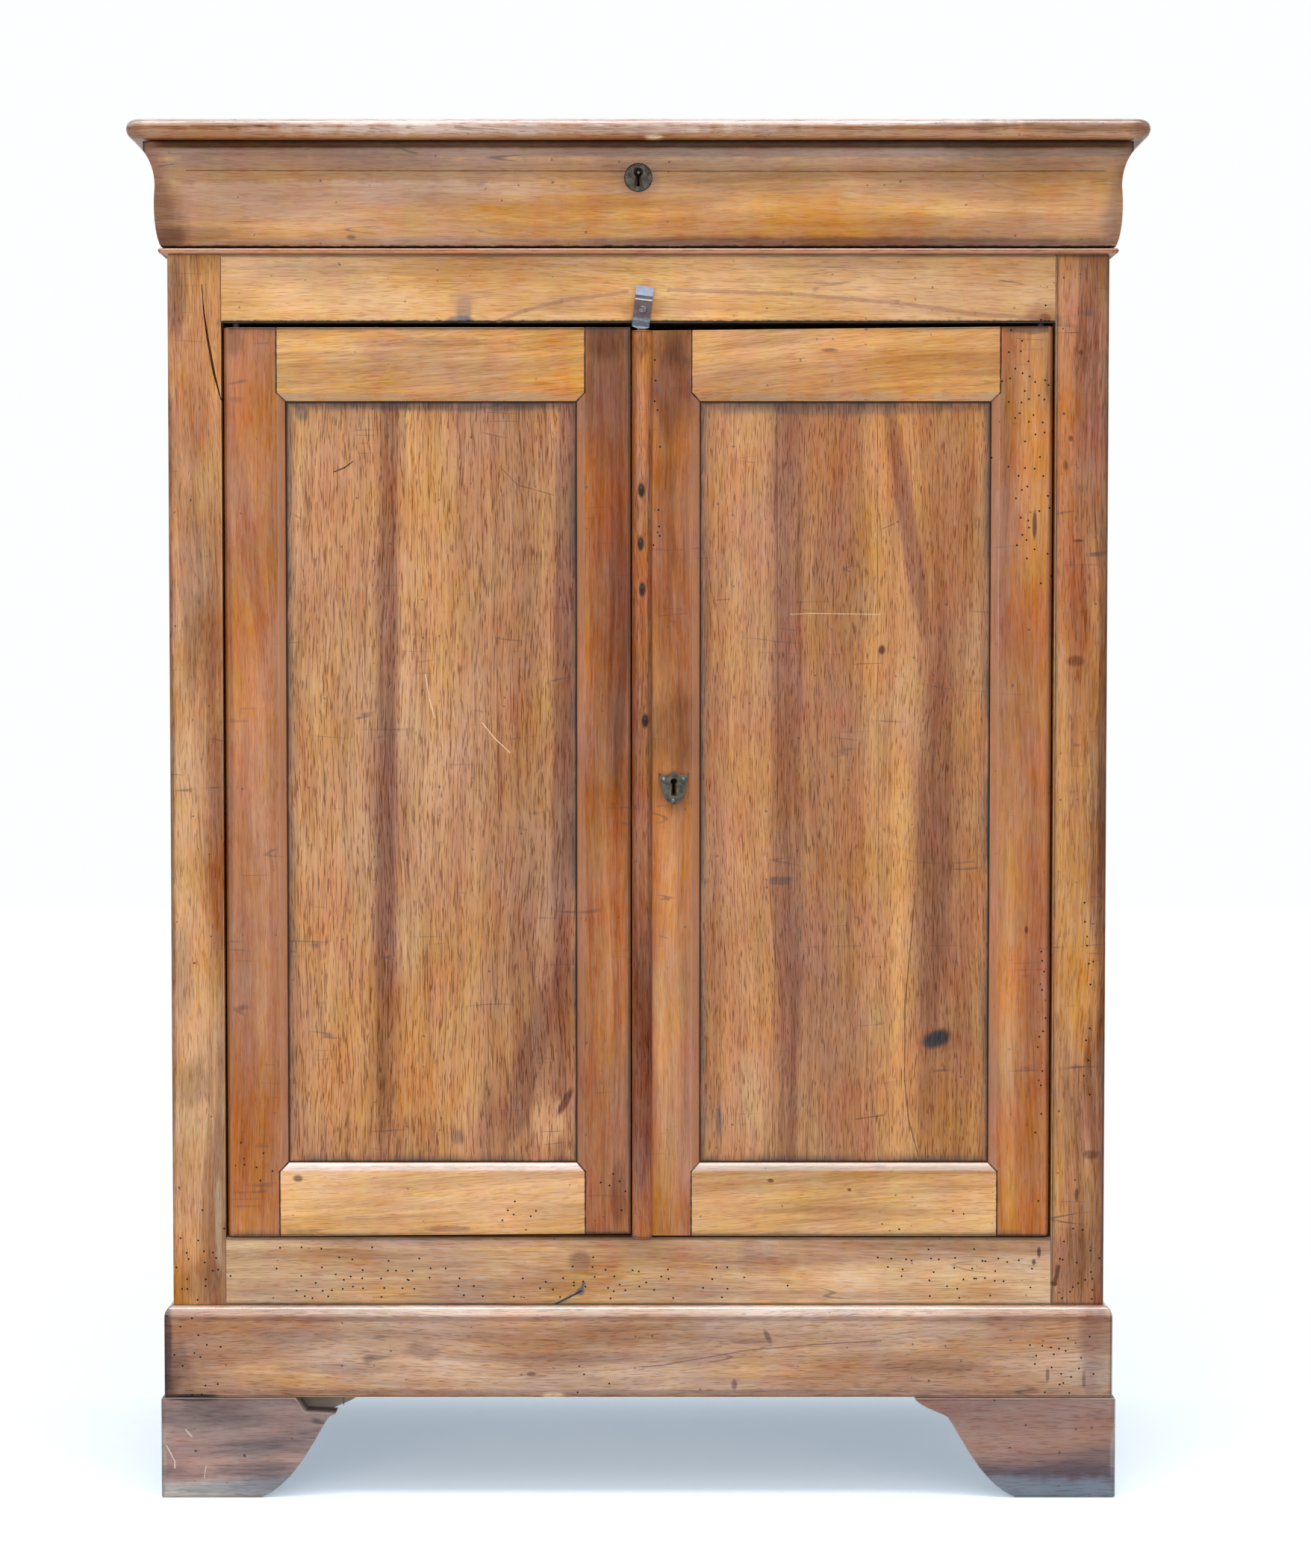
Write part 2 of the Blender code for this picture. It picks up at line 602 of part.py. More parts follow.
drawer_keyhole_y = (FRONT - TOP_OVERHANG, DRAWER_SEAT + (LOCK_THICKNESS - BOLT_THICKNESS) / 3)
drawer_keyhole = keyhole("drawer_keyhole", 0, bush_z + SHIELD_KEYHOLE_RISE, drawer_keyhole_y)
for piece in (drawer_front, drawer_key_bush, drawer_lock_case):
    cut(piece, drawer_keyhole)
drawer_axis = add_pivot("drawer_slide_axis", (0, DRAWER_SEAT, Z_DRAWER))
hang(drawer_axis, [*drawer_pieces, drawer_key_bush, drawer_lock_case])
hang(add_pivot("drawer_bolt_axis", (0, bolt_middle, drawer_lock_top)), [drawer_lock_bolt])


# Plinth: a mitred frame with a rounded upper edge, closed by a plain board at the back
plinth_inner = PLINTH_OFFSET - PLINTH_THICKNESS
plinth_round = arc((0, Z_CASE - FIT - PLINTH_ROUND), (PLINTH_OFFSET, PLINTH_ROUND), 0, 90)
plinth_profile = [
    (plinth_inner, Z_CASE - FIT),
    (plinth_inner, Z_PLINTH),
    (PLINTH_OFFSET, Z_PLINTH),
    *plinth_round,
]
front_ends = [
    [(side * (HALF + offset - FIT), FRONT - offset, z) for offset, z in plinth_profile] for side in (-1, 1)
]
loft("plinth_front", front_ends, WALNUT)
for side in (-1, 1):
    mitred_end = [(side * (HALF + offset), FRONT - offset + FIT, z) for offset, z in plinth_profile]
    square_end = [(side * (HALF + offset), BACK, z) for offset, z in plinth_profile]
    loft("plinth_" + side_name(side), [mitred_end, square_end], WALNUT)
plinth_gap = HALF + plinth_inner - FIT
plinth_back_y = (BACK - PLINTH_THICKNESS, BACK)
board("plinth_back", (-plinth_gap, plinth_gap), plinth_back_y, (Z_PLINTH, Z_CASE - FIT), PLAIN_WOOD)


# Feet: ogee brackets, mitred at the front corners, with backing blocks behind the front ones
def foot_outline(length, lift=0.0, broken=False):
    """(distance from the outer corner, height) points of a bracket that tapers to a tip under the plinth."""
    top = Z_PLINTH - FIT
    heel = length - FOOT_OGEE_LENGTH

    def at(along, down):
        return (length - along * FOOT_OGEE_LENGTH, mix(top, lift, down))

    lower = bezier((heel, lift), at(0.64, 0.84), at(0.47, 0.39), at(*FOOT_OGEE_WAIST))
    upper = bezier(at(*FOOT_OGEE_WAIST), at(0.22, 0.13), at(0.03, 0.08), (length, top))
    curve = lower + upper[1:]
    if broken:
        curve = [point for point in curve if point[1] < top - BREAK_DEPTH]
        root = length - BREAK_LENGTH
        curve += [(root + BREAK_ROUND, top - BREAK_DEPTH), (root, top)]
    return [(0, lift), *curve, (0, top)]


def mitred(along, offset):
    """Distance from the corner, moved back to the mitre for the points that lie on it."""
    return FOOT_OFFSET - offset if along == 0 else along


foot_planes = (FOOT_OFFSET, FOOT_OFFSET - FOOT_THICKNESS)
foot_corner = HALF + FOOT_OFFSET
foot_front = FRONT - FOOT_OFFSET
for side in (-1, 1):
    name = "front_" + side_name(side) + "_foot"
    outline = foot_outline(FOOT_LENGTH, broken=side < 0)
    rings = [
        [(side * (foot_corner - mitred(along, offset) - FIT), FRONT - offset, z) for along, z in outline]
        for offset in foot_planes
    ]
    loft(name, rings, DARK_WALNUT)

    outline = foot_outline(SIDE_FOOT_LENGTH)
    rings = [
        [(side * (HALF + offset), foot_front + mitred(along, offset) + FIT, z) for along, z in outline]
        for offset in foot_planes
    ]
    loft(name + "_return", rings, DARK_WALNUT)

    backing_corner = foot_corner - FOOT_THICKNESS - FIT
    backing_length = FOOT_LENGTH - FOOT_THICKNESS - FIT - BACKING_TIP
    outline = foot_outline(backing_length, BACKING_LIFT)
    outline = [(side * (backing_corner - along), z) for along, z in outline]
    backing_front = foot_front + FOOT_THICKNESS + FIT
    prism(name + "_backing", outline, "Y", (backing_front, backing_front + BACKING_THICKNESS), PLAIN_WOOD)

    outline = [(BACK - along, z) for along, z in foot_outline(SIDE_FOOT_LENGTH)]
    back_foot_x = [side * (HALF + offset) for offset in foot_planes]
    prism("back_" + side_name(side) + "_foot", outline, "X", back_foot_x, DARK_WALNUT)


# Doors: mitred mouldings worked on stiles and rails that hold a flat panel in their grooves
def framed_member(name, place, width, rounding, low, high, outer_gaps, corners, finish):
    """Stile or rail, where u runs from outer edge to panel, v from face to back and w along it.

    low and high are w at the (outer, inner) corners of its ends, outer_gaps is how far its outer edge is
    planed back at each end, and corners are where its moulding meets the mitres.
    """
    bm = bmesh.new()
    thick = DOOR_THICKNESS
    inner = width + MOULDING_WIDTH
    groove = (PANEL_RECESS - FIT, PANEL_RECESS + PANEL_THICKNESS + FIT)
    groove_bottom = inner - PANEL_GROOVE
    corner = [(0, 0)]
    if rounding:
        corner = arc((rounding, rounding), (rounding, rounding), 270, 180, SMALL_CURVE_STEPS)
    section = [(width, 0), *corner, (0, thick), (width, thick)]
    splay = bezier(
        (inner, MOULDING_DEPTH),
        (mix(inner, width, 0.3), mix(MOULDING_DEPTH, 0, 0.3) - MOULDING_SWELL),
        (mix(inner, width, 0.7), mix(MOULDING_DEPTH, 0, 0.7) - MOULDING_SWELL),
        (width, 0),
        SMALL_CURVE_STEPS,
    )
    strip = [
        (width, thick),
        (inner, thick),
        (inner, groove[1]),
        (groove_bottom, groove[1]),
        (groove_bottom, groove[0]),
        (inner, groove[0]),
        *splay,
    ]
    ends = []
    for (w_outer, w_inner), gap in zip((low, high), outer_gaps):
        verts = []
        for u, v in section:
            share = 1 - u / width
            verts.append(bm.verts.new(place(u + share * gap, v, mix(w_inner, w_outer, share))))
        ends.append(verts)
    mitres = []
    for w, direction in zip(corners, (1, -1)):
        mitres.append([bm.verts.new(place(u, v, w + direction * (u - width))) for u, v in strip])
    first, last = ends
    start, stop = mitres
    bm.faces.new((first[0], first[1], last[1], last[0], stop[-1], start[-1]))
    bm.faces.new((first[-2], first[-1], start[0], start[1], stop[1], stop[0], last[-1], last[-2]))
    for i in range(1, len(section) - 2):
        bm.faces.new((first[i], first[i + 1], last[i + 1], last[i]))
    for i in range(1, len(strip) - 1):
        bm.faces.new((start[i], start[i + 1], stop[i + 1], stop[i]))
    for end, mitre, (_, w_inner), w in zip(ends, mitres, (low, high), corners):
        bm.faces.new(end)
        bm.faces.new(mitre)
        if w_inner != w:
            bm.faces.new((end[0], mitre[-1], mitre[0], end[-1]))
    bmesh.ops.remove_doubles(bm, verts=bm.verts, dist=FIT / 100)
    return add_object(name, bm, finish)


def hinge_axis(side):
    return (side * (OPENING_HALF - DOOR_SIDE_GAP - PIVOT_INSET), DOOR_FRONT + PIVOT_DEPTH)


doors = {-1: [], 1: []}
meeting_stiles = {}
lower_line = Z_OPENING + DOOR_BOTTOM_RAIL
upper_line = Z_RAIL - DOOR_TOP_RAIL
for side, meeting_width, top_gaps, bottom_gaps in (
    (-1, LEFT_MEETING_STILE, LEFT_TOP_GAPS, LEFT_BOTTOM_GAPS),
    (1, RIGHT_MEETING_STILE, RIGHT_TOP_GAPS, RIGHT_BOTTOM_GAPS),
):
    name = side_name(side) + "_door"
    hinge_x = side * (OPENING_HALF - DOOR_SIDE_GAP)
    meeting_x = MEETING_X + side * MEETING_GAP / 2

    def gap_at(gaps, x, ends=(hinge_x, meeting_x)):
        return mix(*gaps, (x - ends[0]) / (ends[1] - ends[0]))

    lines = {}
    stiles = {}
    for part, edge_x, inward, width, rounding in (
        ("_hinge_stile", hinge_x, -side, HINGE_STILE, STILE_ROUND),
        ("_meeting_stile", meeting_x, side, meeting_width, 0),
    ):
        line_x = edge_x + inward * width
        low = [Z_OPENING + gap_at(bottom_gaps, x) for x in (edge_x, line_x)]
        high = [Z_RAIL - gap_at(top_gaps, x) for x in (edge_x, line_x)]

        def place_stile(u, v, w, edge=edge_x, step=inward):
            return (edge + step * u, DOOR_FRONT + v, w)

        corners = (lower_line, upper_line)
        stile = framed_member(
            name + part, place_stile, width, rounding, low, high, (0, 0), corners, DARK_WALNUT
        )
        lines[line_x] = inward
        stiles[line_x] = stile
        doors[side].append(stile)
    meeting_stiles[side] = stile

    left_line, right_line = sorted(lines)
    ends = (left_line + FIT, right_line - FIT)
    top_tenon = (upper_line + TENON_SHOULDER, Z_RAIL - max(top_gaps) - TENON_SHOULDER)
    bottom_tenon = (Z_OPENING + max(bottom_gaps) + TENON_SHOULDER, lower_line - TENON_SHOULDER)
    for part, level, up, width, gaps, tenon_z in (
        ("_top_rail", Z_RAIL, -1, DOOR_TOP_RAIL, top_gaps, top_tenon),
        ("_bottom_rail", Z_OPENING, 1, DOOR_BOTTOM_RAIL, bottom_gaps, bottom_tenon),
    ):

        def place_rail(u, v, w, base=level, step=up):
            return (w, DOOR_FRONT + v, base + step * u)

        end_gaps = [gap_at(gaps, x) for x in ends]
        rail = framed_member(
            name + part, place_rail, width, 0, (ends[0],) * 2, (ends[1],) * 2, end_gaps, ends, WALNUT
        )
        for line_x, inward in lines.items():
            middle = DOOR_FRONT + DOOR_THICKNESS / 2
            tenon_joint(rail, stiles[line_x], line_x, -inward, middle, tenon_z)
        doors[side].append(rail)

    tuck = MOULDING_WIDTH - PANEL_GROOVE + FIT
    panel_y = (DOOR_FRONT + PANEL_RECESS, DOOR_FRONT + PANEL_RECESS + PANEL_THICKNESS)
    panel_x = (left_line + tuck, right_line - tuck)
    panel_z = (lower_line + tuck, upper_line - tuck)
    doors[side].append(board(name + "_panel", panel_x, panel_y, panel_z, PANEL_WALNUT))

    # Pivots: flanged pins let into the rails; the lower one has a collar that the door turns on
    axis = hinge_axis(side)
    bore = PIVOT_RADIUS + FIT
    seat = PIVOT_FLANGE + FIT
    door_top = Z_RAIL - gap_at(top_gaps, axis[0])
    door_bottom = Z_OPENING + gap_at(bottom_gaps, axis[0])
    upper_steps = [
        (Z_RAIL + PIVOT_FLANGE_THICKNESS, PIVOT_FLANGE),
        (Z_RAIL, PIVOT_FLANGE),
        (Z_RAIL, PIVOT_RADIUS),
        (door_top - PIVOT_REACH, PIVOT_RADIUS),
    ]
    turned(side_name(side) + "_top_pivot", axis, "Z", upper_steps, IRON)
    lower_steps = [
        (Z_OPENING - PIVOT_FLANGE_THICKNESS, PIVOT_FLANGE),
        (Z_OPENING, PIVOT_FLANGE),
        (Z_OPENING, PIVOT_COLLAR),
        (door_bottom - FIT, PIVOT_COLLAR),
        (door_bottom - FIT, PIVOT_RADIUS),
        (door_bottom + PIVOT_REACH, PIVOT_RADIUS),
    ]
    turned(side_name(side) + "_bottom_pivot", axis, "Z", lower_steps, IRON)
    upper_seat = [(Z_RAIL - PIVOT_REACH, seat), (Z_RAIL + PIVOT_FLANGE_THICKNESS + FIT, seat)]
    cut(upper_front_rail, turned(name + "_upper_seat", axis, "Z", upper_seat))
    lower_seat = [(Z_OPENING - PIVOT_FLANGE_THICKNESS - FIT, seat), (Z_OPENING + PIVOT_REACH, seat)]
    cut(lower_front_rail, turned(name + "_lower_seat", axis, "Z", lower_seat))
    hinge_stile = doors[side][0]
    upper_bore = [(door_top - PIVOT_REACH - FIT, bore), (Z_RAIL, bore)]
    cut(hinge_stile, turned(name + "_upper_bore", axis, "Z", upper_bore))
    lower_bore = [(Z_OPENING, bore), (door_bottom + PIVOT_REACH + FIT, bore)]
    cut(hinge_stile, turned(name + "_lower_bore", axis, "Z", lower_bore))

# Meeting bead: half-round strip nailed along the right door's edge
bead_left = MEETING_X + MEETING_GAP / 2
bead_centre = (bead_left + MEETING_BEAD_WIDTH / 2, DOOR_FRONT - FIT)
bead_outline = arc(bead_centre, (MEETING_BEAD_WIDTH / 2, MEETING_BEAD_PROUD), 180, 360)
bead_z = (Z_OPENING + FIT, Z_RAIL - max(RIGHT_TOP_GAPS))
meeting_bead = prism("meeting_bead", bead_outline, "Z", bead_z, DARK_WALNUT)

# Door lock: shield escutcheon on the stile, case on its back, bolt that slides behind the left door
shield_z = Z_OPENING + SHIELD_RISE
half_shield = SHIELD_WIDTH / 2
shield_top = shield_z + SHIELD_HEIGHT / 2
shield_tip = shield_z - SHIELD_HEIGHT / 2
shield_horn = shield_top - SHIELD_HORN_DROP
dip_handle = shield_horn - SHIELD_DIP * 4 / 3
brow = bezier(
    (0, shield_top),
    (half_shield * 0.35, dip_handle),
    (half_shield * 0.7, dip_handle),
    (half_shield, shield_horn),
)
flank = bezier(
    (half_shield, shield_horn),
    (half_shield * 0.8, mix(shield_horn, shield_tip, 0.5)),
    (half_shield * 0.75, mix(shield_horn, shield_tip, 0.95)),
    (0, shield_tip),
)
right_half = brow + flank[1:]
left_half = [(-x, z) for x, z in reversed(right_half[1:-1])]
shield_outline = [(SHIELD_X + x, z) for x, z in right_half + left_half]
shield_y = (DOOR_FRONT - FIT - SHIELD_THICKNESS, DOOR_FRONT - FIT)
door_escutcheon = prism("door_escutcheon", shield_outline, "Y", shield_y, OLD_BRASS)

case_left = bead_left + DOOR_LOCK_INSET
case_x = (case_left, case_left + DOOR_LOCK_WIDTH)
case_y = (DOOR_BACK + FIT, DOOR_BACK + LOCK_THICKNESS)
case_z = (shield_z - DOOR_LOCK_HEIGHT / 2, shield_z + DOOR_LOCK_HEIGHT / 2)
door_lock_case = board("door_lock_case", case_x, case_y, case_z, IRON)
bolt_middle = sum(case_y) / 2
bolt_y = (bolt_middle - BOLT_THICKNESS / 2, bolt_middle + BOLT_THICKNESS / 2)
bolt_level = shield_z + DOOR_LOCK_HEIGHT / 4
bolt_z = (bolt_level - DOOR_BOLT_HEIGHT / 2, bolt_level + DOOR_BOLT_HEIGHT / 2)
bolt_x = (bead_left + MEETING_GAP, bead_left + MEETING_GAP + DOOR_BOLT_LENGTH)
door_lock_bolt = board("door_lock_bolt", bolt_x, bolt_y, bolt_z, IRON)
channel_x = (bolt_x[0] - DOOR_BOLT_TRAVEL, bolt_x[1] + FIT)
cut(door_lock_case, board("door_bolt_channel", channel_x, grown(bolt_y, FIT), grown(bolt_z, FIT)))

door_keyhole_y = (DOOR_FRONT - MEETING_BEAD_PROUD, DOOR_BACK + (LOCK_THICKNESS - BOLT_THICKNESS) / 3)
door_keyhole = keyhole("door_keyhole", SHIELD_X, shield_z + SHIELD_KEYHOLE_RISE, door_keyhole_y)
for piece in (door_escutcheon, meeting_stiles[1], door_lock_case):
    cut(piece, door_keyhole)
doors[1] += [meeting_bead, door_escutcheon, door_lock_case]
for side in (-1, 1):
    door_axis = add_pivot(side_name(side) + "_door_axis", (*hinge_axis(side), Z_OPENING))
    hang(door_axis, doors[side])
hang(add_pivot("door_bolt_axis", (bolt_x[0], bolt_middle, bolt_level)), [door_lock_bolt])

# Turn button: bent iron strip on a screw in the upper rail; its lower end is round about the screw
button_z = Z_RAIL + BUTTON_RISE
button_half = BUTTON_WIDTH / 2
widest = math.asin(button_half / BUTTON_REACH)
stations = []
for step in range(1, SMALL_CURVE_STEPS + 1):
    turn = widest * step / SMALL_CURVE_STEPS
    stations.append((-BUTTON_REACH * math.cos(turn), BUTTON_REACH * math.sin(turn), BUTTON_JOGGLE))
tab = bezier(
    (BUTTON_TAB_START, FIT),
    (mix(BUTTON_TAB_START, BUTTON_TAB, 0.3), FIT),
    (mix(BUTTON_TAB_START, BUTTON_TAB, 0.6), mix(FIT, BUTTON_TAB_FLARE, 0.4)),
    (BUTTON_TAB, BUTTON_TAB_FLARE),
    SMALL_CURVE_STEPS,
)
stations += [
    (-BUTTON_JOGGLE_END, button_half, BUTTON_JOGGLE),
    (-BUTTON_JOGGLE_START, button_half, FIT),
    *[(z, button_half, out) for z, out in tab],
]
button_rings = [
    ring(rectangle((-half, half), (-out - BUTTON_THICKNESS, -out)), "Z", z) for z, half, out in stations
]
turn_button = loft("turn_button", button_rings, IRON)
turn_button.location = (BUTTON_X, FRONT, button_z)
turn_button.rotation_euler.y = BUTTON_TILT
screw_centre = (BUTTON_X, button_z)
head_back = FRONT - BUTTON_THICKNESS - 2 * FIT
hole = [(FRONT + RAIL_THICKNESS, SCREW_RADIUS + FIT), (FRONT - TOP_OVERHANG, SCREW_RADIUS + FIT)]
cut(turn_button, turned("button_hole", screw_centre, "Y", hole))
bore = [(FRONT + SCREW_LENGTH + FIT, SCREW_RADIUS + FIT), (FRONT - TOP_OVERHANG, SCREW_RADIUS + FIT)]
cut(upper_front_rail, turned("screw_bore", screw_centre, "Y", bore))
screw_steps = [
    (FRONT + SCREW_LENGTH, SCREW_RADIUS / 3),
    (FRONT + SCREW_LENGTH / 2, SCREW_RADIUS),
    (head_back, SCREW_RADIUS),
    (head_back, SCREW_HEAD),
    (head_back - SCREW_HEAD * 0.3, SCREW_HEAD * 0.9),
    (head_back - SCREW_HEAD * 0.5, SCREW_HEAD * 0.45),
]
turned("turn_button_screw", screw_centre, "Y", screw_steps, IRON)
hang(add_pivot("turn_button_axis", turn_button.location), [turn_button])
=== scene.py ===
"""Walnut side cabinet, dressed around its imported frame: worn wood, old iron and a pale studio."""

import json
import math

import bpy
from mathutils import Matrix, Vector


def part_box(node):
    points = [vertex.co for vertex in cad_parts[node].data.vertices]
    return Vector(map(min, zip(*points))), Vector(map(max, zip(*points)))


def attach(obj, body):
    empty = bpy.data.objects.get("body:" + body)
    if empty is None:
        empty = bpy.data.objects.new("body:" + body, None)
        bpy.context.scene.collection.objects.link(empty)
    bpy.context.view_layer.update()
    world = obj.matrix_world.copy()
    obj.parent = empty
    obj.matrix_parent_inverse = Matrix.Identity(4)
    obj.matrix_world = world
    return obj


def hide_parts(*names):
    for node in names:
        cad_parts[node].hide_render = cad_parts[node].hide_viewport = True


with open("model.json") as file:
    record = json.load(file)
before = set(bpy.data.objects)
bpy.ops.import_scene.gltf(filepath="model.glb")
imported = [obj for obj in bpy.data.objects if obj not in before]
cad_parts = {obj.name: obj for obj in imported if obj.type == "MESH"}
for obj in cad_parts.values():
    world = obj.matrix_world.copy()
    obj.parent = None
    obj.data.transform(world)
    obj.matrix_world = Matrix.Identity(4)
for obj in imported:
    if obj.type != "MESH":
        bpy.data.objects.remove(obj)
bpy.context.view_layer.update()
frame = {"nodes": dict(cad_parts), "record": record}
MM = 0.001

# Bracket feet: thick walnut, sawn to an ogee and mitred round the front corners, with grain that runs
# aslant. Mops and shoes have scuffed the lowest band pale and rubbed the outer corners bare.
body_of = {}
for body, members in frame["record"]["behaviour"]["bodies"].items():
    for member in members:
        body_of[member] = body


def select_only(piece):
    bpy.ops.object.select_all(action="DESELECT")
    piece.select_set(True)
    bpy.context.view_layer.objects.active = piece


def worked(node, arris, steps=2):
    """The frame's board as a worked piece: its facets merged and its arrises eased."""
    mesh = frame["nodes"][node].data.copy()
    mesh.materials.clear()
    piece = bpy.data.objects.new(node + "_worked", mesh)
    bpy.context.scene.collection.objects.link(piece)
    select_only(piece)
    bpy.ops.mesh.customdata_custom_splitnormals_clear()
    bpy.ops.object.mode_set(mode="EDIT")
    bpy.ops.mesh.select_all(action="SELECT")
    bpy.ops.mesh.remove_doubles(threshold=0.005 * MM)
    bpy.ops.mesh.dissolve_limited(angle_limit=math.radians(0.3))
    bpy.ops.object.mode_set(mode="OBJECT")
    eased = piece.modifiers.new("eased_arris", "BEVEL")
    eased.width = arris
    eased.segments = steps
    eased.limit_method = "ANGLE"
    eased.angle_limit = math.radians(42)
    bpy.ops.object.modifier_apply(modifier=eased.name)
    bpy.ops.object.shade_smooth_by_angle(angle=math.radians(32))
    flat = piece.modifiers.new("flat_faces", "WEIGHTED_NORMAL")
    flat.weight = 100
    flat.keep_sharp = True
    bpy.ops.object.modifier_apply(modifier=flat.name)
    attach(piece, body_of[node])
    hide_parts(node)
    return piece


def lay(tree, kind, inputs, **settings):
    """Puts a node, or a placed group, into a tree with its inputs set or linked, and gives its outputs."""
    if isinstance(kind, bpy.types.NodeTree):
        node = tree.nodes.new("ShaderNodeGroup")
        node.node_tree = kind
    else:
        node = tree.nodes.new("ShaderNode" + kind)
    for name, value in settings.items():
        setattr(node, name, value)
    for key, value in inputs.items():
        if isinstance(value, bpy.types.NodeSocket):
            tree.links.new(value, node.inputs[key])
        elif node.inputs[key].type == "RGBA":
            node.inputs[key].default_value = (*value, 1)
        else:
            node.inputs[key].default_value = value
    return node.outputs


def lay_beside(kind, *values, **settings):
    """Puts a node into the tree that its linked values are in, with its inputs filled in order."""
    tree = next(value.id_data for value in values if isinstance(value, bpy.types.NodeSocket))
    return lay(tree, kind, dict(enumerate(values)), **settings)


def figure(operation, *values):
    return lay_beside("Math", *values, operation=operation)[0]


def times(first, second):
    return figure("MULTIPLY", first, second)


def less(first, second):
    return figure("SUBTRACT", first, second)


def blend(value, factor, more):
    return figure("MULTIPLY_ADD", value, factor, more)


def vector(operation, *values):
    return lay_beside("VectorMath", *values, operation=operation)[0]


def parts(place):
    return lay_beside("SeparateXYZ", place)


def length(place):
    return lay_beside("VectorMath", place, operation="LENGTH")["Value"]


def wire(value, socket):
    socket.id_data.links.new(value, socket)


def fade(value, start, stop):
    """0 at start, 1 at stop, with soft ends."""
    return lay_beside("MapRange", value, start, stop, interpolation_type="SMOOTHSTEP")["Result"]


def noise(place, stretch, detail, roughness=0.5):
    """Cloudy figure at a place whose axes are stretched first."""
    inputs = {"Vector": vector("MULTIPLY", place, stretch), "Scale": 1.0}
    inputs.update({"Detail": detail, "Roughness": roughness})
    return lay(place.id_data, "TexNoise", inputs)[0]


def stain(share, under, over, way="MIX"):
    """Colour laid over another by a share."""
    inputs = {0: share, 6: under, 7: over}
    return lay(share.id_data, "Mix", inputs, data_type="RGBA", blend_type=way)[2]


def new_group(name, vectors, colours, floats, results):
    """Empty shader group with its sockets named in words, its input sockets and its output sockets."""
    group = bpy.data.node_groups.new(name, "ShaderNodeTree")
    for kind, labels in (("Vector", vectors), ("Color", colours), ("Float", floats)):
        for label in labels.split():
            group.interface.new_socket(label, in_out="INPUT", socket_type="NodeSocket" + kind)
    for label in results.split():
        kind = "Color" if label == "Colour" else "Float"
        group.interface.new_socket(label, in_out="OUTPUT", socket_type="NodeSocket" + kind)
    start = group.nodes.new("NodeGroupInput")
    end = group.nodes.new("NodeGroupOutput")
    return group, start.outputs, end.inputs


def walnut_grain_group():
    """Broad bands, fibres and short dark pores that run along Z."""
    group, given, made = new_group(
        "walnut_grain", "Place", "Light Dark", "Band Pores Fine Cloud", "Colour Height"
    )
    place = given["Place"]
    sway = less(noise(place, (5, 5, 1.8), 2), 0.5)
    ripple = less(noise(place, (260, 260, 9), 2), 0.5)
    shift = lay(
        group, "CombineXYZ", {0: times(sway, 0.05), 2: times(ripple, 0.09)},
    )[0]
    bent = vector("ADD", place, shift)
    bands = noise(bent, (17, 17, 0.8), 3, 0.55)
    streaks = noise(bent, (150, 150, 3.5), 3, 0.6)
    fibres = noise(bent, (520, 520, 11), 3, 0.65)
    pores = noise(bent, (1000, 1000, 66), 1)
    clouds = noise(bent, (15, 15, 5), 4, 0.55)
    tone = blend(less(clouds, 0.5), given["Cloud"], bands)
    thread = blend(fibres, 0.7, times(streaks, 0.6))
    tone = blend(less(thread, 0.65), given["Fine"], tone)
    reach = times(given["Band"], 0.5)
    low = less(0.49, reach)
    high = figure("ADD", 0.49, reach)
    colour = stain(fade(tone, low, high), given["Dark"], given["Light"])
    pore = times(fade(pores, 0.53, 0.66), given["Pores"])
    colour = stain(pore, colour, (0.5, 0.4, 0.35), "MULTIPLY")
    mottle = noise(place, (11, 11, 7), 6, 0.6)
    level = blend(mottle, 0.5, 0.75)
    # The colour's strength is scaled by a random mottle.
    mottled = lay(group, "VectorMath", {0: colour, "Scale": level}, operation="SCALE")[0]
    wire(mottled, made["Colour"])
    height = less(times(fibres, 0.35), pore)
    wire(height, made["Height"])
    return group


def board_edges_group():
    """Distance to the nearest edge of a board's face, and where its arrises are."""
    group, given, made = new_group("board_edges", "Place Facing Low High", "", "", "Distance Arris")
    from_low = vector("SUBTRACT", given["Place"], given["Low"])
    from_high = vector("SUBTRACT", given["High"], given["Place"])
    facing = vector("ABSOLUTE", given["Facing"])
    near = vector("ADD", vector("MINIMUM", from_low, from_high), facing)
    sides = parts(near)
    nearest = figure("MINIMUM", sides[0], figure("MINIMUM", sides[1], sides[2]))
    wire(nearest, made["Distance"])
    turns = parts(facing)
    squarest = figure("MAXIMUM", turns[0], figure("MAXIMUM", turns[1], turns[2]))
    wire(fade(squarest, 0.995, 0.9), made["Arris"])
    return group


def mark_group():
    """Soft ragged patch about a centre, for knots, stains, bands of figure and bleached spots, and for
    painted highlights, sheen and shade.
    """
    group, given, made = new_group("mark", "Place Centre Size", "", "Ragged Lean", "Mask")
    offset = vector("SUBTRACT", given["Place"], given["Centre"])
    rise = parts(offset)[2]
    leant = lay(group, "CombineXYZ", {0: times(rise, given["Lean"])})[0]
    away = vector("DIVIDE", vector("SUBTRACT", offset, leant), given["Size"])
    distance = length(away)
    grain = noise(given["Place"], (45, 45, 18), 4, 0.6)
    rough = times(less(grain, 0.5), given["Ragged"])
    wire(fade(figure("ADD", distance, rough), 1.0, 0.45), made["Mask"])
    return group


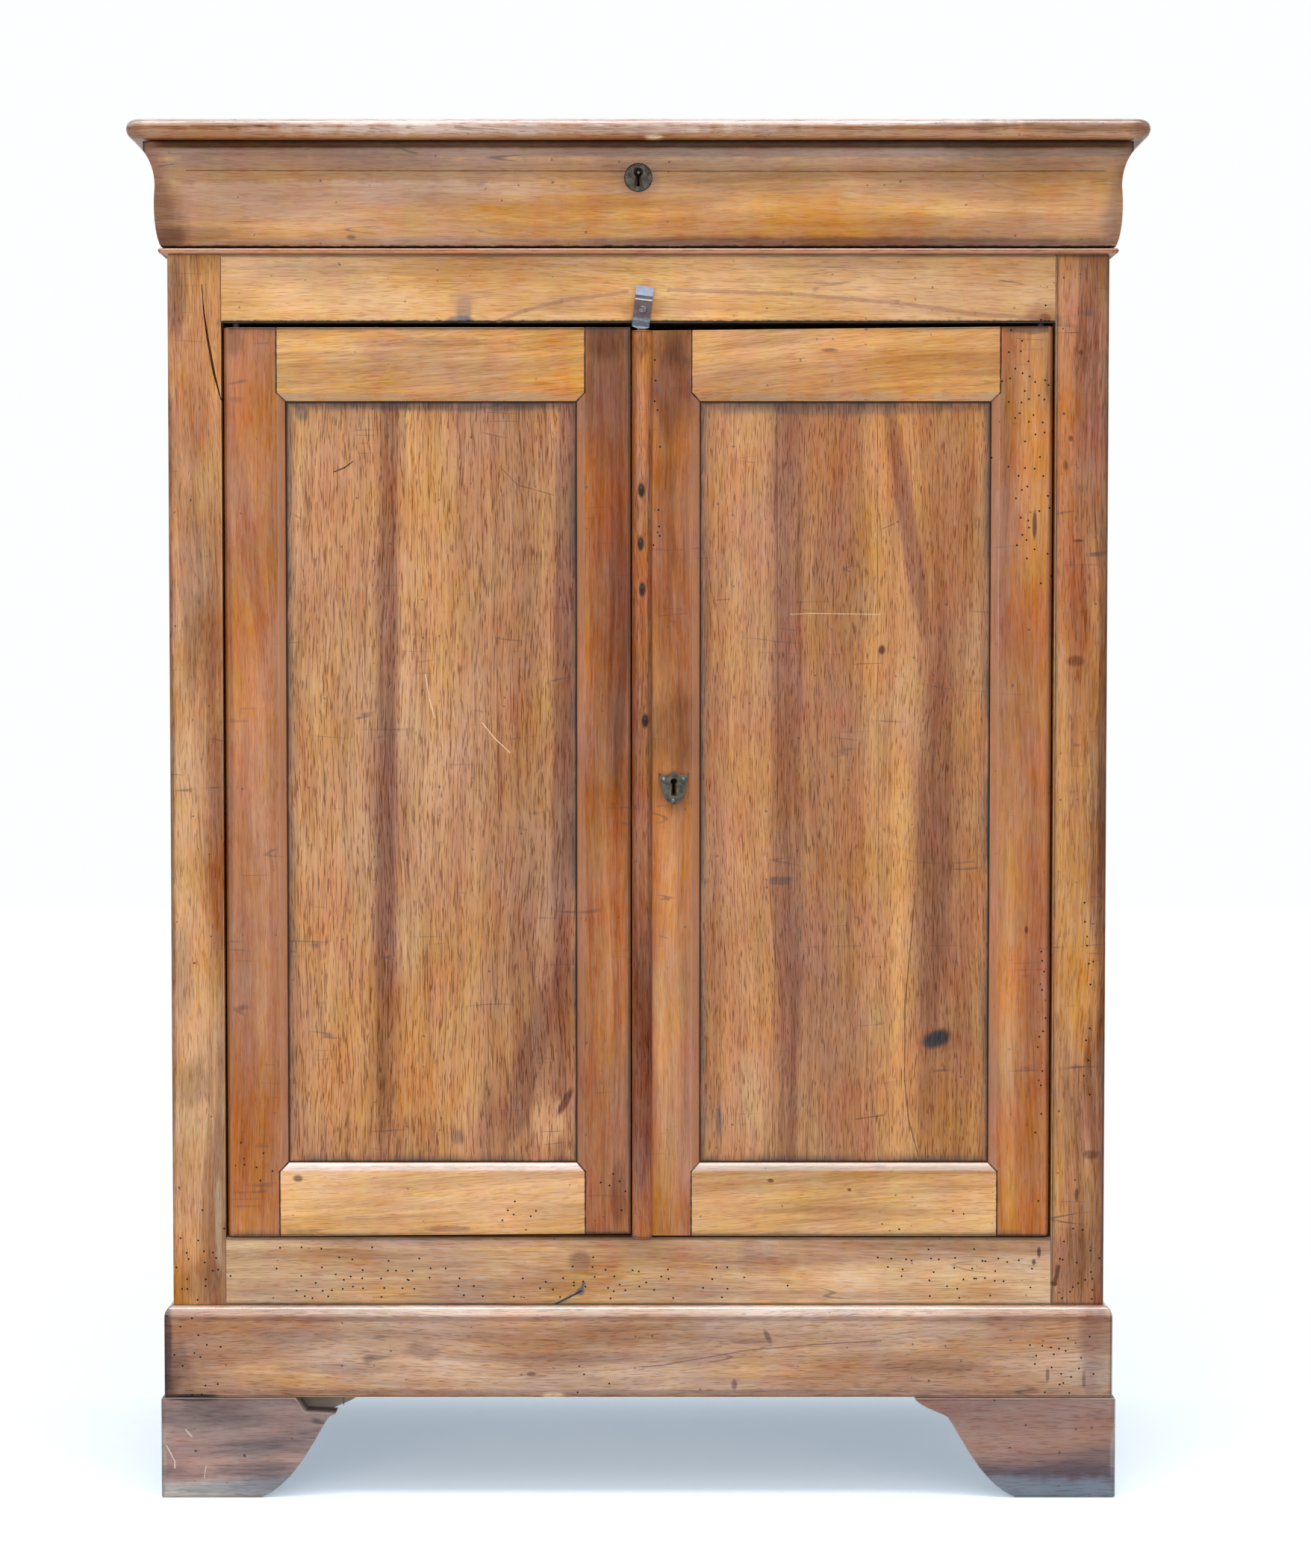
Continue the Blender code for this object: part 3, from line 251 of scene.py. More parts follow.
def stroke_group():
    """Straight narrow line between two places on the front, for open joints, cracks, scratches and painted
    shadow lines in gaps.
    """
    group, given, made = new_group("stroke", "Place Start Run", "", "Width", "Mask")
    offset = vector("SUBTRACT", given["Place"], given["Start"])
    part = parts(offset)
    flat = lay(group, "CombineXYZ", {0: part[0], 2: part[2]})[0]
    along = lay(group, "VectorMath", {0: flat, 1: given["Run"]}, operation="DOT_PRODUCT")["Value"]
    whole = lay(group, "VectorMath", {0: given["Run"], 1: given["Run"]}, operation="DOT_PRODUCT")["Value"]
    share = figure("MINIMUM", figure("MAXIMUM", figure("DIVIDE", along, whole), 0.0), 1.0)
    foot = lay(group, "VectorMath", {0: given["Run"], "Scale": share}, operation="SCALE")[0]
    aside = vector("SUBTRACT", flat, foot)
    distance = length(aside)
    uneven = noise(given["Place"], (130, 130, 130), 2)
    half = times(given["Width"], figure("ADD", uneven, 0.1))
    core = times(half, 0.4)
    wire(fade(distance, half, core), made["Mask"])
    return group


def handling_group():
    """Dark dents and specks, and hairline scratches, as on any piece that has been used for long."""
    group, given, made = new_group("handling_marks", "Place Facing", "", "Amount", "Specks Scratches")
    part = parts(given["Place"])
    turns = parts(vector("ABSOLUTE", given["Facing"]))
    sideways = figure("GREATER_THAN", turns[0], 0.7)
    upward = figure("GREATER_THAN", turns[2], 0.7)
    across = blend(less(part[1], part[0]), sideways, part[0])
    along = blend(less(part[1], part[2]), upward, part[2])
    flat = lay(group, "CombineXYZ", {0: across, 1: along, 2: 0.0})[0]
    warp = lay(group, "TexNoise", {"Vector": flat, "Scale": 160.0, "Detail": 2.0})["Color"]
    ragged = vector("ADD", flat, vector("MULTIPLY", warp, (0.005, 0.005, 0)))
    cells = lay(group, "TexVoronoi", {"Vector": ragged, "Scale": 62.0}, voronoi_dimensions="2D")
    chance = lay(group, "SeparateColor", {0: cells["Color"]})
    size = times(less(chance[0], 0.82), 0.55)
    speck = fade(less(size, cells["Distance"]), 0.0, 0.04)
    rubs = noise(ragged, (110, 90, 1), 6, 0.72)
    speck = figure("MAXIMUM", speck, fade(rubs, 0.67, 0.74))
    wire(times(speck, given["Amount"]), made["Specks"])
    slanted = lay(group, "Mapping", {"Vector": flat, "Rotation": (0, 0, 0.5), "Scale": (4, 46, 1)})[0]
    drift = lay(group, "TexNoise", {"Vector": slanted, "Scale": 1.0, "Detail": 1.0})[0]
    line = fade(figure("ABSOLUTE", less(drift, 0.5)), 0.012, 0.002)
    stretch = fade(noise(flat, (17, 23, 1), 3), 0.57, 0.66)
    hair = times(times(line, stretch), given["Amount"])
    wire(hair, made["Scratches"])
    return group


def worm_group():
    """Cluster of small round flight holes about a centre."""
    group, given, made = new_group("worm_holes", "Place Centre Size", "", "", "Mask")
    part = parts(given["Place"])
    flat = lay(group, "CombineXYZ", {0: part[0], 1: part[2], 2: 0.0})[0]
    cells = lay(group, "TexVoronoi", {"Vector": flat, "Scale": 105.0}, voronoi_dimensions="2D")
    chance = lay(group, "SeparateColor", {0: cells["Color"]})
    hole = fade(cells["Distance"], 0.115, 0.085)
    away = vector("DIVIDE", vector("SUBTRACT", given["Place"], given["Centre"]), given["Size"])
    distance = length(away)
    crowd = figure("LESS_THAN", distance, times(chance[1], 1.3))
    crowd = times(crowd, figure("GREATER_THAN", chance[2], 0.3))
    wire(times(hole, crowd), made["Mask"])
    return group


WALNUT_GRAIN = walnut_grain_group()
BOARD_EDGES = board_edges_group()
MARK = mark_group()
STROKE = stroke_group()
HANDLING = handling_group()
WORM = worm_group()
GRIME = (0.06, 0.045, 0.048)
SEAM_AND_SHADE = (0.03, 0.02, 0.018)
HOLE = (0.012, 0.009, 0.008)
FULL = 9000
FRONT = -0.2
ALONG_X = (0, math.radians(90), 0)
ALONG_Y = (math.radians(90), 0, 0)
ALONG_Z = (0, 0, 0)


def mark(x, z, width, height, colour, strength=0.8, ragged=0.8, y=FRONT, lean=0.0):
    """A patch on the front, by its middle and its whole width and height in millimetres. FULL is wider
    than any piece."""
    size = (width * MM / 2, 0.1, height * MM / 2)
    inputs = {"Centre": (x * MM, y, z * MM), "Size": size, "Ragged": ragged, "Lean": lean}
    return inputs, colour, strength


def strokes(points, width, colour=SEAM_AND_SHADE, strength=0.9):
    """A line along points on the front, in millimetres, as straight strokes that follow each other."""
    drawn = []
    for (x, z), (next_x, next_z) in zip(points, points[1:]):
        run = ((next_x - x) * MM, 0, (next_z - z) * MM)
        inputs = {"Start": (x * MM, 0, z * MM), "Run": run, "Width": width * MM}
        drawn.append((inputs, colour, strength))
    return drawn


def holes(x, z, width, height):
    return {"Centre": (x * MM, FRONT, z * MM), "Size": (width * MM / 2, 0.1, height * MM / 2)}


def new_material(piece, name):
    """Gives a piece its own material, and gives the material's tree, shader and coordinates."""
    material = bpy.data.materials.new(name)
    material.use_nodes = True
    piece.data.materials.clear()
    piece.data.materials.append(material)
    tree = material.node_tree
    return tree, tree.nodes["Principled BSDF"], lay(tree, "TexCoord", {})


def waxed(
    node, arris, grain, light, dark, band=0.5, pores=0.8, fine=1.0, cloud=0.3, grime=0.5,
    grime_width=7 * MM, line=0.75, wear=0.4, worn=(0.62, 0.4, 0.22), handling=0.6, sheen=0.4, marks=(),
    lines=(), worms=(), turn=0.0, housed=0.0, polish=1.0, bloom=1.3,
):
    """A worked board in waxed walnut: its own stretch of grain, marks as rows that mark takes (some of them
    painted highlight, sheen and shade), uneven patina, grimy edges with a dark line along them that is part
    painted shade, and rubbed arrises."""
    piece = worked(node, arris)
    tree, shader, coordinates = new_material(piece, node + "_walnut")
    place = coordinates["Object"]
    low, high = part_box(node)
    # Each board is cut from its own stretch of the grain.
    offset = (low.x * 3.7 + high.z, low.z * 2.3 + high.x, high.y * 5.1 + low.x)
    turned = tuple(angle + turn * (axis == 1) for axis, angle in enumerate(grain))
    along = lay(tree, "Mapping", {"Vector": place, "Location": offset, "Rotation": turned})[0]
    inputs = {"Place": along, "Light": light, "Dark": dark, "Band": band, "Pores": pores}
    inputs.update({"Fine": fine, "Cloud": cloud})
    wood = lay(tree, WALNUT_GRAIN, inputs)
    colour = wood["Colour"]
    middle = tuple((a + b) / 2 for a, b in zip(light, dark))
    figured = vector("DIVIDE", colour, middle)
    facing = parts(coordinates["Normal"])
    outside = figure("LESS_THAN", facing[1], 0.5)
    outside = times(outside, figure("LESS_THAN", facing[2], 0.97))
    for spot in marks:
        inputs, tint, strength = mark(*spot)
        mask = lay(tree, MARK, {"Place": place, **inputs})[0]
        share = times(times(mask, outside), strength)
        colour = stain(share, colour, vector("MULTIPLY", figured, tint))
    hidden = Vector((housed, 0, housed))
    inputs = {"Place": place, "Facing": coordinates["Normal"], "Low": low + hidden, "High": high - hidden}
    edges = lay(tree, BOARD_EDGES, inputs)
    patchy = noise(place, (38, 38, 14), 4, 0.6)
    # Patina: the richness and the hue of the colour vary on their own, in clouds and along fibres.
    blooms = noise(along, (15, 15, 6), 3, 0.6)
    threads = noise(along, (500, 500, 50), 2)
    uneven = blend(blooms, 0.5, times(threads, 0.3))
    richness = blend(uneven, bloom, 1 - 0.4 * bloom)
    hue = blend(patchy, 0.05, 0.475)
    inputs = {"Hue": hue, "Saturation": richness, "Color": colour}
    colour = lay(tree, "HueSaturation", inputs)[0]
    border = fade(edges["Distance"], grime_width, 0.0)
    dirty = times(border, fade(patchy, 0.25, 0.6))
    colour = stain(times(dirty, grime), colour, GRIME)
    # A narrow dark line along every edge of the face, part grime and part painted shade.
    edge_line = times(fade(edges["Distance"], 3.2 * MM, 0.6 * MM), line)
    colour = stain(edge_line, colour, SEAM_AND_SHADE)
    inputs = {"Place": place, "Facing": coordinates["Normal"], "Amount": handling}
    use = lay(tree, HANDLING, inputs)
    colour = stain(times(use["Specks"], 0.75), colour, GRIME)
    colour = stain(times(use["Scratches"], 0.6), colour, GRIME)
    for inputs, tint, strength in lines:
        mask = lay(tree, STROKE, {"Place": place, **inputs})[0]
        colour = stain(times(times(mask, outside), strength), colour, tint)
    rubbed = times(edges["Arris"], fade(patchy, 0.35, 0.6))
    colour = stain(times(rubbed, wear), colour, worn)
    height = wood["Height"]
    for inputs in worms:
        bored = lay(tree, WORM, {"Place": place, **inputs})[0]
        colour = stain(bored, colour, HOLE)
        height = less(height, times(bored, 3.0))
    wire(colour, shader.inputs["Base Color"])
    dull = blend(patchy, 0.22, sheen - 0.11)
    dull = blend(edges["Arris"], -0.12, dull)
    shade = lay(tree, "RGBToBW", {0: colour})[0]
    waxy = times(fade(shade, 0.02, 0.12), polish)
    wire(times(edges["Arris"], waxy), shader.inputs["Coat Weight"])
    gleam = figure("MINIMUM", times(shade, 2.0), 0.3)
    wire(gleam, shader.inputs["Specular IOR Level"])
    shader.inputs["Coat Roughness"].default_value = 0.22
    shader.inputs["Coat IOR"].default_value = 1.85
    wire(blend(dirty, 0.2, dull), shader.inputs["Roughness"])
    bump = lay(tree, "Bump", {"Strength": 0.35, "Distance": 0.5 * MM, "Height": height})
    wire(bump[0], shader.inputs["Normal"])
    return piece


LEFT_FOOT_LIGHT = (0.41, 0.26, 0.215)
RIGHT_FOOT_LIGHT = (0.3, 0.176, 0.142)
FOOT_DARK = (0.105, 0.08, 0.092)
SCUFFED = (0.33, 0.32, 0.31)
RAW = (0.6, 0.52, 0.42)
BLACKENED = (0.02, 0.015, 0.014)
foot_nodes = ("front_left_foot", "front_right_foot", "back_left_foot", "back_right_foot")
UMBER_FOOT = (0.15, 0.085, 0.075)
for node in foot_nodes + ("front_left_foot_return", "front_right_foot_return"):
    low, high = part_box(node)
    middle = (low.x + high.x) / 2 / MM
    outer = (low.x if middle < 0 else high.x) / MM
    width = (high.x - low.x) / MM
    kicks_and_gap_shade = [
        (middle, 5, 2.4 * width, 40, SCUFFED, 0.9, 0.7, low.y),
        # The black line at x -440 just under the plinth is painted shade in the gap between foot and plinth.
        (outer, 40, 12, 120, SCUFFED, 0.55, 1.2, low.y), (-440, 99, 70, 6, BLACKENED, 0.95, 0.3, low.y),
        (middle, 84, 1.6 * width, 46, UMBER_FOOT, 0.5, 1.2, low.y),
    ]
    knocks = strokes([(outer + 5, 52), (outer + 9, 44), (outer + 13, 36), (outer + 13, 30)], 1.5, RAW, 0.75)
    knocks += strokes([(outer + 44, 32), (outer + 42, 20)], 1.2, RAW, 0.7)
    knocks += strokes([(outer + 24, 68), (outer + 30, 61)], 1.8, RAW, 0.6)
    front_piece = node in foot_nodes[:2]
    waxed(
        node, 1.4 * MM, ALONG_X if front_piece else ALONG_Y,
        LEFT_FOOT_LIGHT if middle < 0 else RIGHT_FOOT_LIGHT, FOOT_DARK, band=0.5, pores=0.5, fine=0.25,
        cloud=1.3, bloom=2.5, handling=1.2, marks=kicks_and_gap_shade,
        lines=knocks if node == "front_left_foot" else (), grime=0.4, wear=0.7, worn=(0.5, 0.44, 0.4),
        sheen=0.5,
    )

# Backing blocks: raw softwood glued behind the front brackets, never finished, grey with age. The left
# one shows where the bracket's tip has broken away.
BARE_LIGHT = (0.26, 0.22, 0.18)
BARE_DARK = (0.13, 0.105, 0.085)
for node in ("front_left_foot_backing", "front_right_foot_backing"):
    waxed(
        node, 0.8 * MM, ALONG_X, BARE_LIGHT, BARE_DARK, pores=0.3, grime=0.3, wear=0.1,
        sheen=0.75
    )

left_block_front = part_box("front_left_foot_backing")[0].y
spike_place = (-294 * MM, left_block_front, 93 * MM)
bpy.ops.mesh.primitive_cone_add(
    vertices=12, radius1=0.5 * MM, radius2=1.3 * MM, depth=13 * MM, location=spike_place
)
spike = bpy.context.object
spike.name = "foot_nail"
bpy.ops.object.transform_apply(location=True)
bpy.ops.object.shade_smooth_by_angle(angle=math.radians(40))
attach(spike, "carcass")

# Plinth: a mitred frame under the case with a rounded upper edge, its front knocked and polished by feet
# and brooms, with a painted highlight along the rounded edge. A plain softwood board closes it at the back.
PLINTH_LIGHT = (0.59, 0.362, 0.225)
PLINTH_DARK = (0.275, 0.142, 0.085)
BRUISE = (0.17, 0.085, 0.07)
FRESH = (0.8, 0.58, 0.36)
PAINTED_HIGHLIGHT = (0.72, 0.52, 0.44)
TAWNY = (0.52, 0.29, 0.14)
plinth_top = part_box("plinth_front")[1].z / MM
plinth_marks = [
    (-360, 122, 150, 26, TAWNY, 0.55, 1.2), (-150, 150, 200, 24, TAWNY, 0.5, 1.2),
    (60, 124, 240, 22, TAWNY, 0.5, 1.2), (330, 150, 180, 22, TAWNY, 0.5, 1.2),
    (-474, 125, 80, 120, BRUISE, 0.75, 0.9), (-478, 110, 44, 60, GRIME, 0.7, 0.9),
    # The pale band along the rounded upper edge is a painted highlight.
    (0, plinth_top - 12, FULL, 7, BRUISE, 0.5), (0, plinth_top - 4, FULL, 14, PAINTED_HIGHLIGHT, 0.5, 0.5),
    # The black line at x -440 on the lower edge is painted shade in the gap over the left foot.
    (-84, 102, 30, 8, FRESH, 0.95, 0.4), (-440, 101, 70, 6, BLACKENED, 0.9, 0.3),
    (-215, 146, 40, 22, BRUISE, 0.5, 1.2), (-330, 160, 120, 14, BRUISE, 0.35, 1.2),
    (-300, 128, 180, 16, BRUISE, 0.4, 1.2), (-106, 123, 13, 6, BRUISE, 0.9),
    (-60, 140, 260, 14, BRUISE, 0.35, 1.0), (128, 160, 8, 20, BRUISE, 0.8, 0.8, FRONT, -0.4),
    (110, 155, 60, 6, BRUISE, 0.6, 1.2), (95, 112, 8, 16, BRUISE, 0.85), (405, 122, 5, 18, BRUISE, 0.85),
    (441, 118, 5, 24, BRUISE, 0.85), (290, 130, 160, 18, BRUISE, 0.4, 1.0),
    (452, 150, 44, 130, BRUISE, 0.6), (-466, 150, 14, 120, GRIME, 0.7, 0.7),
    (0, 105, 1500, 7, BRUISE, 0.5, 1.4),
]
for node, grain in (("plinth_front", ALONG_X), ("plinth_left", ALONG_Y), ("plinth_right", ALONG_Y)):
    bored = [holes(-440, 140, 60, 90), holes(-40, 120, 60, 30), holes(420, 140, 70, 80)]
    waxed(
        node, 0.9 * MM, grain, PLINTH_LIGHT, PLINTH_DARK, bloom=2.4, band=0.7, pores=0.7,
        fine=0.6, cloud=0.9, wear=0.0, handling=1.0, grime=0.35, sheen=0.36,
        marks=plinth_marks if node == "plinth_front" else (),
        lines=strokes([(4, 130), (25, 132), (110, 147), (185, 153), (240, 156)], 1.5, BRUISE, 0.8),
        worms=bored if node == "plinth_front" else (),
    )
waxed("plinth_back", 1 * MM, ALONG_X, BARE_LIGHT, BARE_DARK, pores=0.3, wear=0.2, sheen=0.75)

# Posts: upright walnut, the front ones stained darker by hands near the doors. The left one has a split
# that runs down from the upper rail, and a bleached streak at its foot.
POST_LIGHT = (0.53, 0.25, 0.095)
POST_DARK = (0.24, 0.085, 0.026)
STAIN_AND_SHADE = (0.1, 0.035, 0.018)
REDDISH = (0.29, 0.085, 0.03)
BLEACHED = (0.6, 0.46, 0.32)
SPLIT_PATH = ((-427.2, 1196.0), (-425.4, 1170.0), (-421.7, 1144.0), (-415.5, 1109.0), (-409.0, 1084.0))
left_post_marks = [
    (-440, 500, 90, 760, (0.52, 0.3, 0.16), 0.45, 0.9), (-440, 900, 26, 260, STAIN_AND_SHADE, 0.35),
    (-452, 1180, 26, 90, STAIN_AND_SHADE, 0.5), (-418, 700, 14, 420, REDDISH, 0.45),
    (-416, 272, 9, 120, BLEACHED, 0.9), (-448, 520, 22, 130, STAIN_AND_SHADE, 0.3),
    (-440, 1060, 50, 120, REDDISH, 0.5, 0.9), (-461, 700, 12, 1100, STAIN_AND_SHADE, 0.75, 1.2),
    (-440, 410, 40, 60, STAIN_AND_SHADE, 0.35, 1.0), (-432, 215, 60, 50, STAIN_AND_SHADE, 0.35, 1.0),
]
right_post_marks = [
    (432, 1040, 70, 620, REDDISH, 0.75, 0.5), (452, 640, 20, 300, STAIN_AND_SHADE, 0.4),
    (424, 1046, 6, 8, STAIN_AND_SHADE, 0.9, 0.7), (419, 1020, 7, 15, STAIN_AND_SHADE, 0.7), (433, 1130, 6, 7, STAIN_AND_SHADE, 0.7),
    (432, 946, 12, 4, STAIN_AND_SHADE, 0.8, 0.7), (430, 828, 24, 14, STAIN_AND_SHADE, 0.6, 1.1),
    (456, 760, 10, 1000, STAIN_AND_SHADE, 0.5), (434, 300, 5, 18, STAIN_AND_SHADE, 0.8), (447, 340, 20, 12, STAIN_AND_SHADE, 0.6, 1.0),
    (430, 236, 50, 90, STAIN_AND_SHADE, 0.35, 0.9), (440, 420, 30, 160, REDDISH, 0.4),
]
for node, spots in (("left_front_post", left_post_marks), ("right_front_post", right_post_marks)):
    foot_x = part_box(node)[0].x / MM + 25
    waxed(
        node, 0.7 * MM, ALONG_Z, POST_LIGHT, POST_DARK, band=0.5, pores=0.7, fine=0.7,
        cloud=0.8, handling=1.2, polish=0.6, marks=spots,
        lines=strokes([(403, 213), (413, 211), (416, 228)], 4.5, STAIN_AND_SHADE, 0.9)
        + strokes(SPLIT_PATH, 1.4, BLACKENED, 0.75),
        worms=[holes(foot_x, 225, 60, 110), holes(444, 500, 14, 240)],
    )


def carve(piece, cutter):
    """Takes a cutter's shape out of a piece."""
    select_only(piece)
    cut = piece.modifiers.new("carved", "BOOLEAN")
    cut.operation = "DIFFERENCE"
    cut.solver = "EXACT"
    cut.object = cutter
    bpy.ops.object.modifier_apply(modifier=cut.name)


def edit_lower_end(block):
    """Opens a block for editing with its lower corners alone selected."""
    select_only(block)
    bpy.ops.object.mode_set(mode="EDIT")
    bpy.ops.mesh.select_all(action="DESELECT")
    bpy.ops.object.mode_set(mode="OBJECT")
    for corner in block.data.vertices:
        corner.select = corner.co.z < 0
    bpy.ops.object.mode_set(mode="EDIT")


# Split in the left post: it opened as the wood dried, and runs aslant to the edge beside the door.
SPLIT_WIDTHS = (0.3, 1.2, 2.2, 2.6, 0.6)
SPLIT_DEPTH = 18 * MM
start_x, start_z = SPLIT_PATH[0]
bpy.ops.mesh.primitive_cube_add(
    size=1, location=(start_x * MM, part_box("left_front_post")[0].y, start_z * MM),
    scale=(SPLIT_WIDTHS[0] * MM, SPLIT_DEPTH, 0.4 * MM),
)
split = bpy.context.object
edit_lower_end(split)
for step in range(1, len(SPLIT_PATH)):
    x, z = SPLIT_PATH[step - 1]
    next_x, next_z = SPLIT_PATH[step]
    shift = ((next_x - x) * MM, 0, (next_z - z) * MM)
    bpy.ops.mesh.extrude_region_move(TRANSFORM_OT_translate={"value": shift})
    bpy.ops.transform.resize(value=(SPLIT_WIDTHS[step] / SPLIT_WIDTHS[step - 1], 1, 1))
bpy.ops.mesh.select_all(action="SELECT")
bpy.ops.mesh.normals_make_consistent(inside=False)
bpy.ops.object.mode_set(mode="OBJECT")
carve(bpy.data.objects["left_front_post_worked"], split)
bpy.data.objects.remove(split)
for node in ("left_back_post", "right_back_post"):
    waxed(node, 1.2 * MM, ALONG_Z, POST_LIGHT, POST_DARK, sheen=0.55)

# Side panels: wide boards set in the posts' grooves, plainer and drier than the front.
SIDE_LIGHT = (0.43, 0.22, 0.105)
SIDE_DARK = (0.25, 0.11, 0.05)
for node in ("left_side_panel", "right_side_panel"):
    waxed(
        node, 0.6 * MM, ALONG_Z, SIDE_LIGHT, SIDE_DARK, band=0.6, grime=0.6, wear=0.1,
        sheen=0.45
    )

# Front rails of the case: paler, golden stock, tenoned into the posts. The upper one has a dark streak
# beside the turn button and two knots, the lower one is wormed and has a cracked knot.
UPPER_LIGHT = (0.7, 0.4, 0.175)
UPPER_DARK = (0.42, 0.2, 0.075)
LOWER_LIGHT = (0.7, 0.44, 0.235)
LOWER_DARK = (0.33, 0.165, 0.08)
KNOT = (0.1, 0.045, 0.03)
BLUE_KNOT = (0.09, 0.085, 0.1)
STREAK = (0.24, 0.11, 0.075)
upper_marks = [
    (398, 1163, 16, 14, KNOT, 0.95, 0.5), (398, 1163, 52, 40, REDDISH, 0.6),
    (-174, 1161, 36, 12, BLUE_KNOT, 0.75, 0.9), (-171, 1172, 20, 44, BLUE_KNOT, 0.6, 0.9),
    (-172, 1180, 34, 30, (0.45, 0.24, 0.12), 0.5), (40, 1175, 70, 30, (0.4, 0.2, 0.1), 0.5, 0.9),
    # The reddish patch round the turn button is stain together with painted shade from the button.
    (4, 1174, 56, 50, REDDISH, 0.45, 0.9), (200, 1215, 300, 14, (0.46, 0.23, 0.1), 0.45, 0.9),
    (-330, 1210, 150, 22, (0.42, 0.21, 0.1), 0.5),
]
lower_marks = [
    (-58, 234, 34, 30, (0.2, 0.085, 0.06), 0.7, 0.9), (-57, 204, 10, 12, BLUE_KNOT, 0.9, 0.7),
    (-62, 218, 120, 50, (0.36, 0.19, 0.1), 0.4), (240, 244, 460, 30, (0.33, 0.16, 0.09), 0.6, 0.7),
    (120, 232, 120, 20, (0.3, 0.13, 0.08), 0.45, 0.9), (397, 243, 5, 14, KNOT, 0.9, 0.6),
    (392, 233, 5, 8, KNOT, 0.9, 0.6), (-180, 252, 460, 10, (0.45, 0.27, 0.2), 0.5),
    (-300, 240, 220, 14, (0.4, 0.22, 0.12), 0.5), (150, 200, 300, 12, (0.38, 0.21, 0.13), 0.45),
]
waxed(
    "upper_front_rail", 0.9 * MM, ALONG_X, UPPER_LIGHT, UPPER_DARK, band=0.65, pores=0.5,
    fine=0.6, cloud=1.0, handling=0.9, grime=0.3, marks=upper_marks,
    # The black line along the rail's lower edge is painted shadow over the gap above the doors.
    lines=strokes([(-407, 1159), (407, 1159)], 5, BLACKENED, 0.95)
    + strokes([(-137, 1161), (-110, 1171), (-75, 1180), (-11, 1189)], 4.5, STREAK, 0.5)
    + strokes([(30, 1191), (150, 1187), (253, 1178), (330, 1168), (395, 1163)], 4.5, STREAK, 0.5),
    worms=[holes(398, 1184, 22, 50)],
)
waxed(
    "lower_front_rail", 0.9 * MM, ALONG_X, LOWER_LIGHT, LOWER_DARK, bloom=2.2, band=0.65,
    pores=0.5, fine=0.6, cloud=1.0, handling=0.9, grime=0.3, marks=lower_marks,
    lines=strokes([(-82, 191), (-68, 198), (-57, 204), (-54, 212)], 3.5, BLUE_KNOT, 0.95)
    + strokes([(-82, 191), (-68, 198), (-57, 204)], 1.4, BLACKENED, 0.95),
    worms=[holes(-290, 215, 240, 60), holes(-20, 212, 300, 44), holes(330, 222, 180, 60)],
)

# Inside of the case: bottom, shelf, cleats, runners and back boards of plain softwood, dusty and dry.
INSIDE_LIGHT = (0.5, 0.37, 0.23)
INSIDE_DARK = (0.33, 0.21, 0.11)
inside = {
    "case_bottom": ALONG_X, "shelf": ALONG_X, "left_shelf_cleat": ALONG_Y, "right_shelf_cleat": ALONG_Y,
    "left_drawer_runner": ALONG_Y, "right_drawer_runner": ALONG_Y, "back_board_left": ALONG_Z,
    "back_board_right": ALONG_Z,
}
for node, grain in inside.items():
    waxed(
        node, 0.8 * MM, grain, INSIDE_LIGHT, INSIDE_DARK, pores=0.25, grime=0.35, wear=0.1,
        sheen=0.7
    )

# Door frames: stiles and rails with a splay worked on their inner edges, mitred at the corners and
# tenoned together. Rails are golden, stiles redder, and the meeting stiles are dark where hands reach.
RAIL_LIGHT = (0.7, 0.36, 0.12)
RAIL_DARK = (0.38, 0.165, 0.048)
LOW_RAIL_LIGHT = (0.75, 0.415, 0.17)
LOW_RAIL_DARK = (0.38, 0.185, 0.064)
STILE_LIGHT = (0.48, 0.18, 0.056)
STILE_DARK = (0.22, 0.066, 0.017)
SMOKE_AND_SHADE = (0.1, 0.032, 0.018)
RUSSET = (0.24, 0.07, 0.026)
HONEY = (0.56, 0.265, 0.09)
PANEL_TONGUE = 6.7 * MM
SPLAY_WIDTH = 8 * MM


def joint_lines(panel):
    """Open joints at the corners of a door: the mitre of the splay, and the rail's shoulder beyond it."""
    low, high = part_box(panel)
    drawn = []
    for x, way in ((low.x + PANEL_TONGUE, -1), (high.x - PANEL_TONGUE, 1)):
        for z, rise in ((low.z + PANEL_TONGUE, -1), (high.z - PANEL_TONGUE, 1)):
            shoulder = x + way * SPLAY_WIDTH
            turn = z + rise * SPLAY_WIDTH
            corner = (x / MM, z / MM), (shoulder / MM, turn / MM), (shoulder / MM, turn / MM + rise * 64)
            drawn += strokes(corner, 1.9)
    return drawn


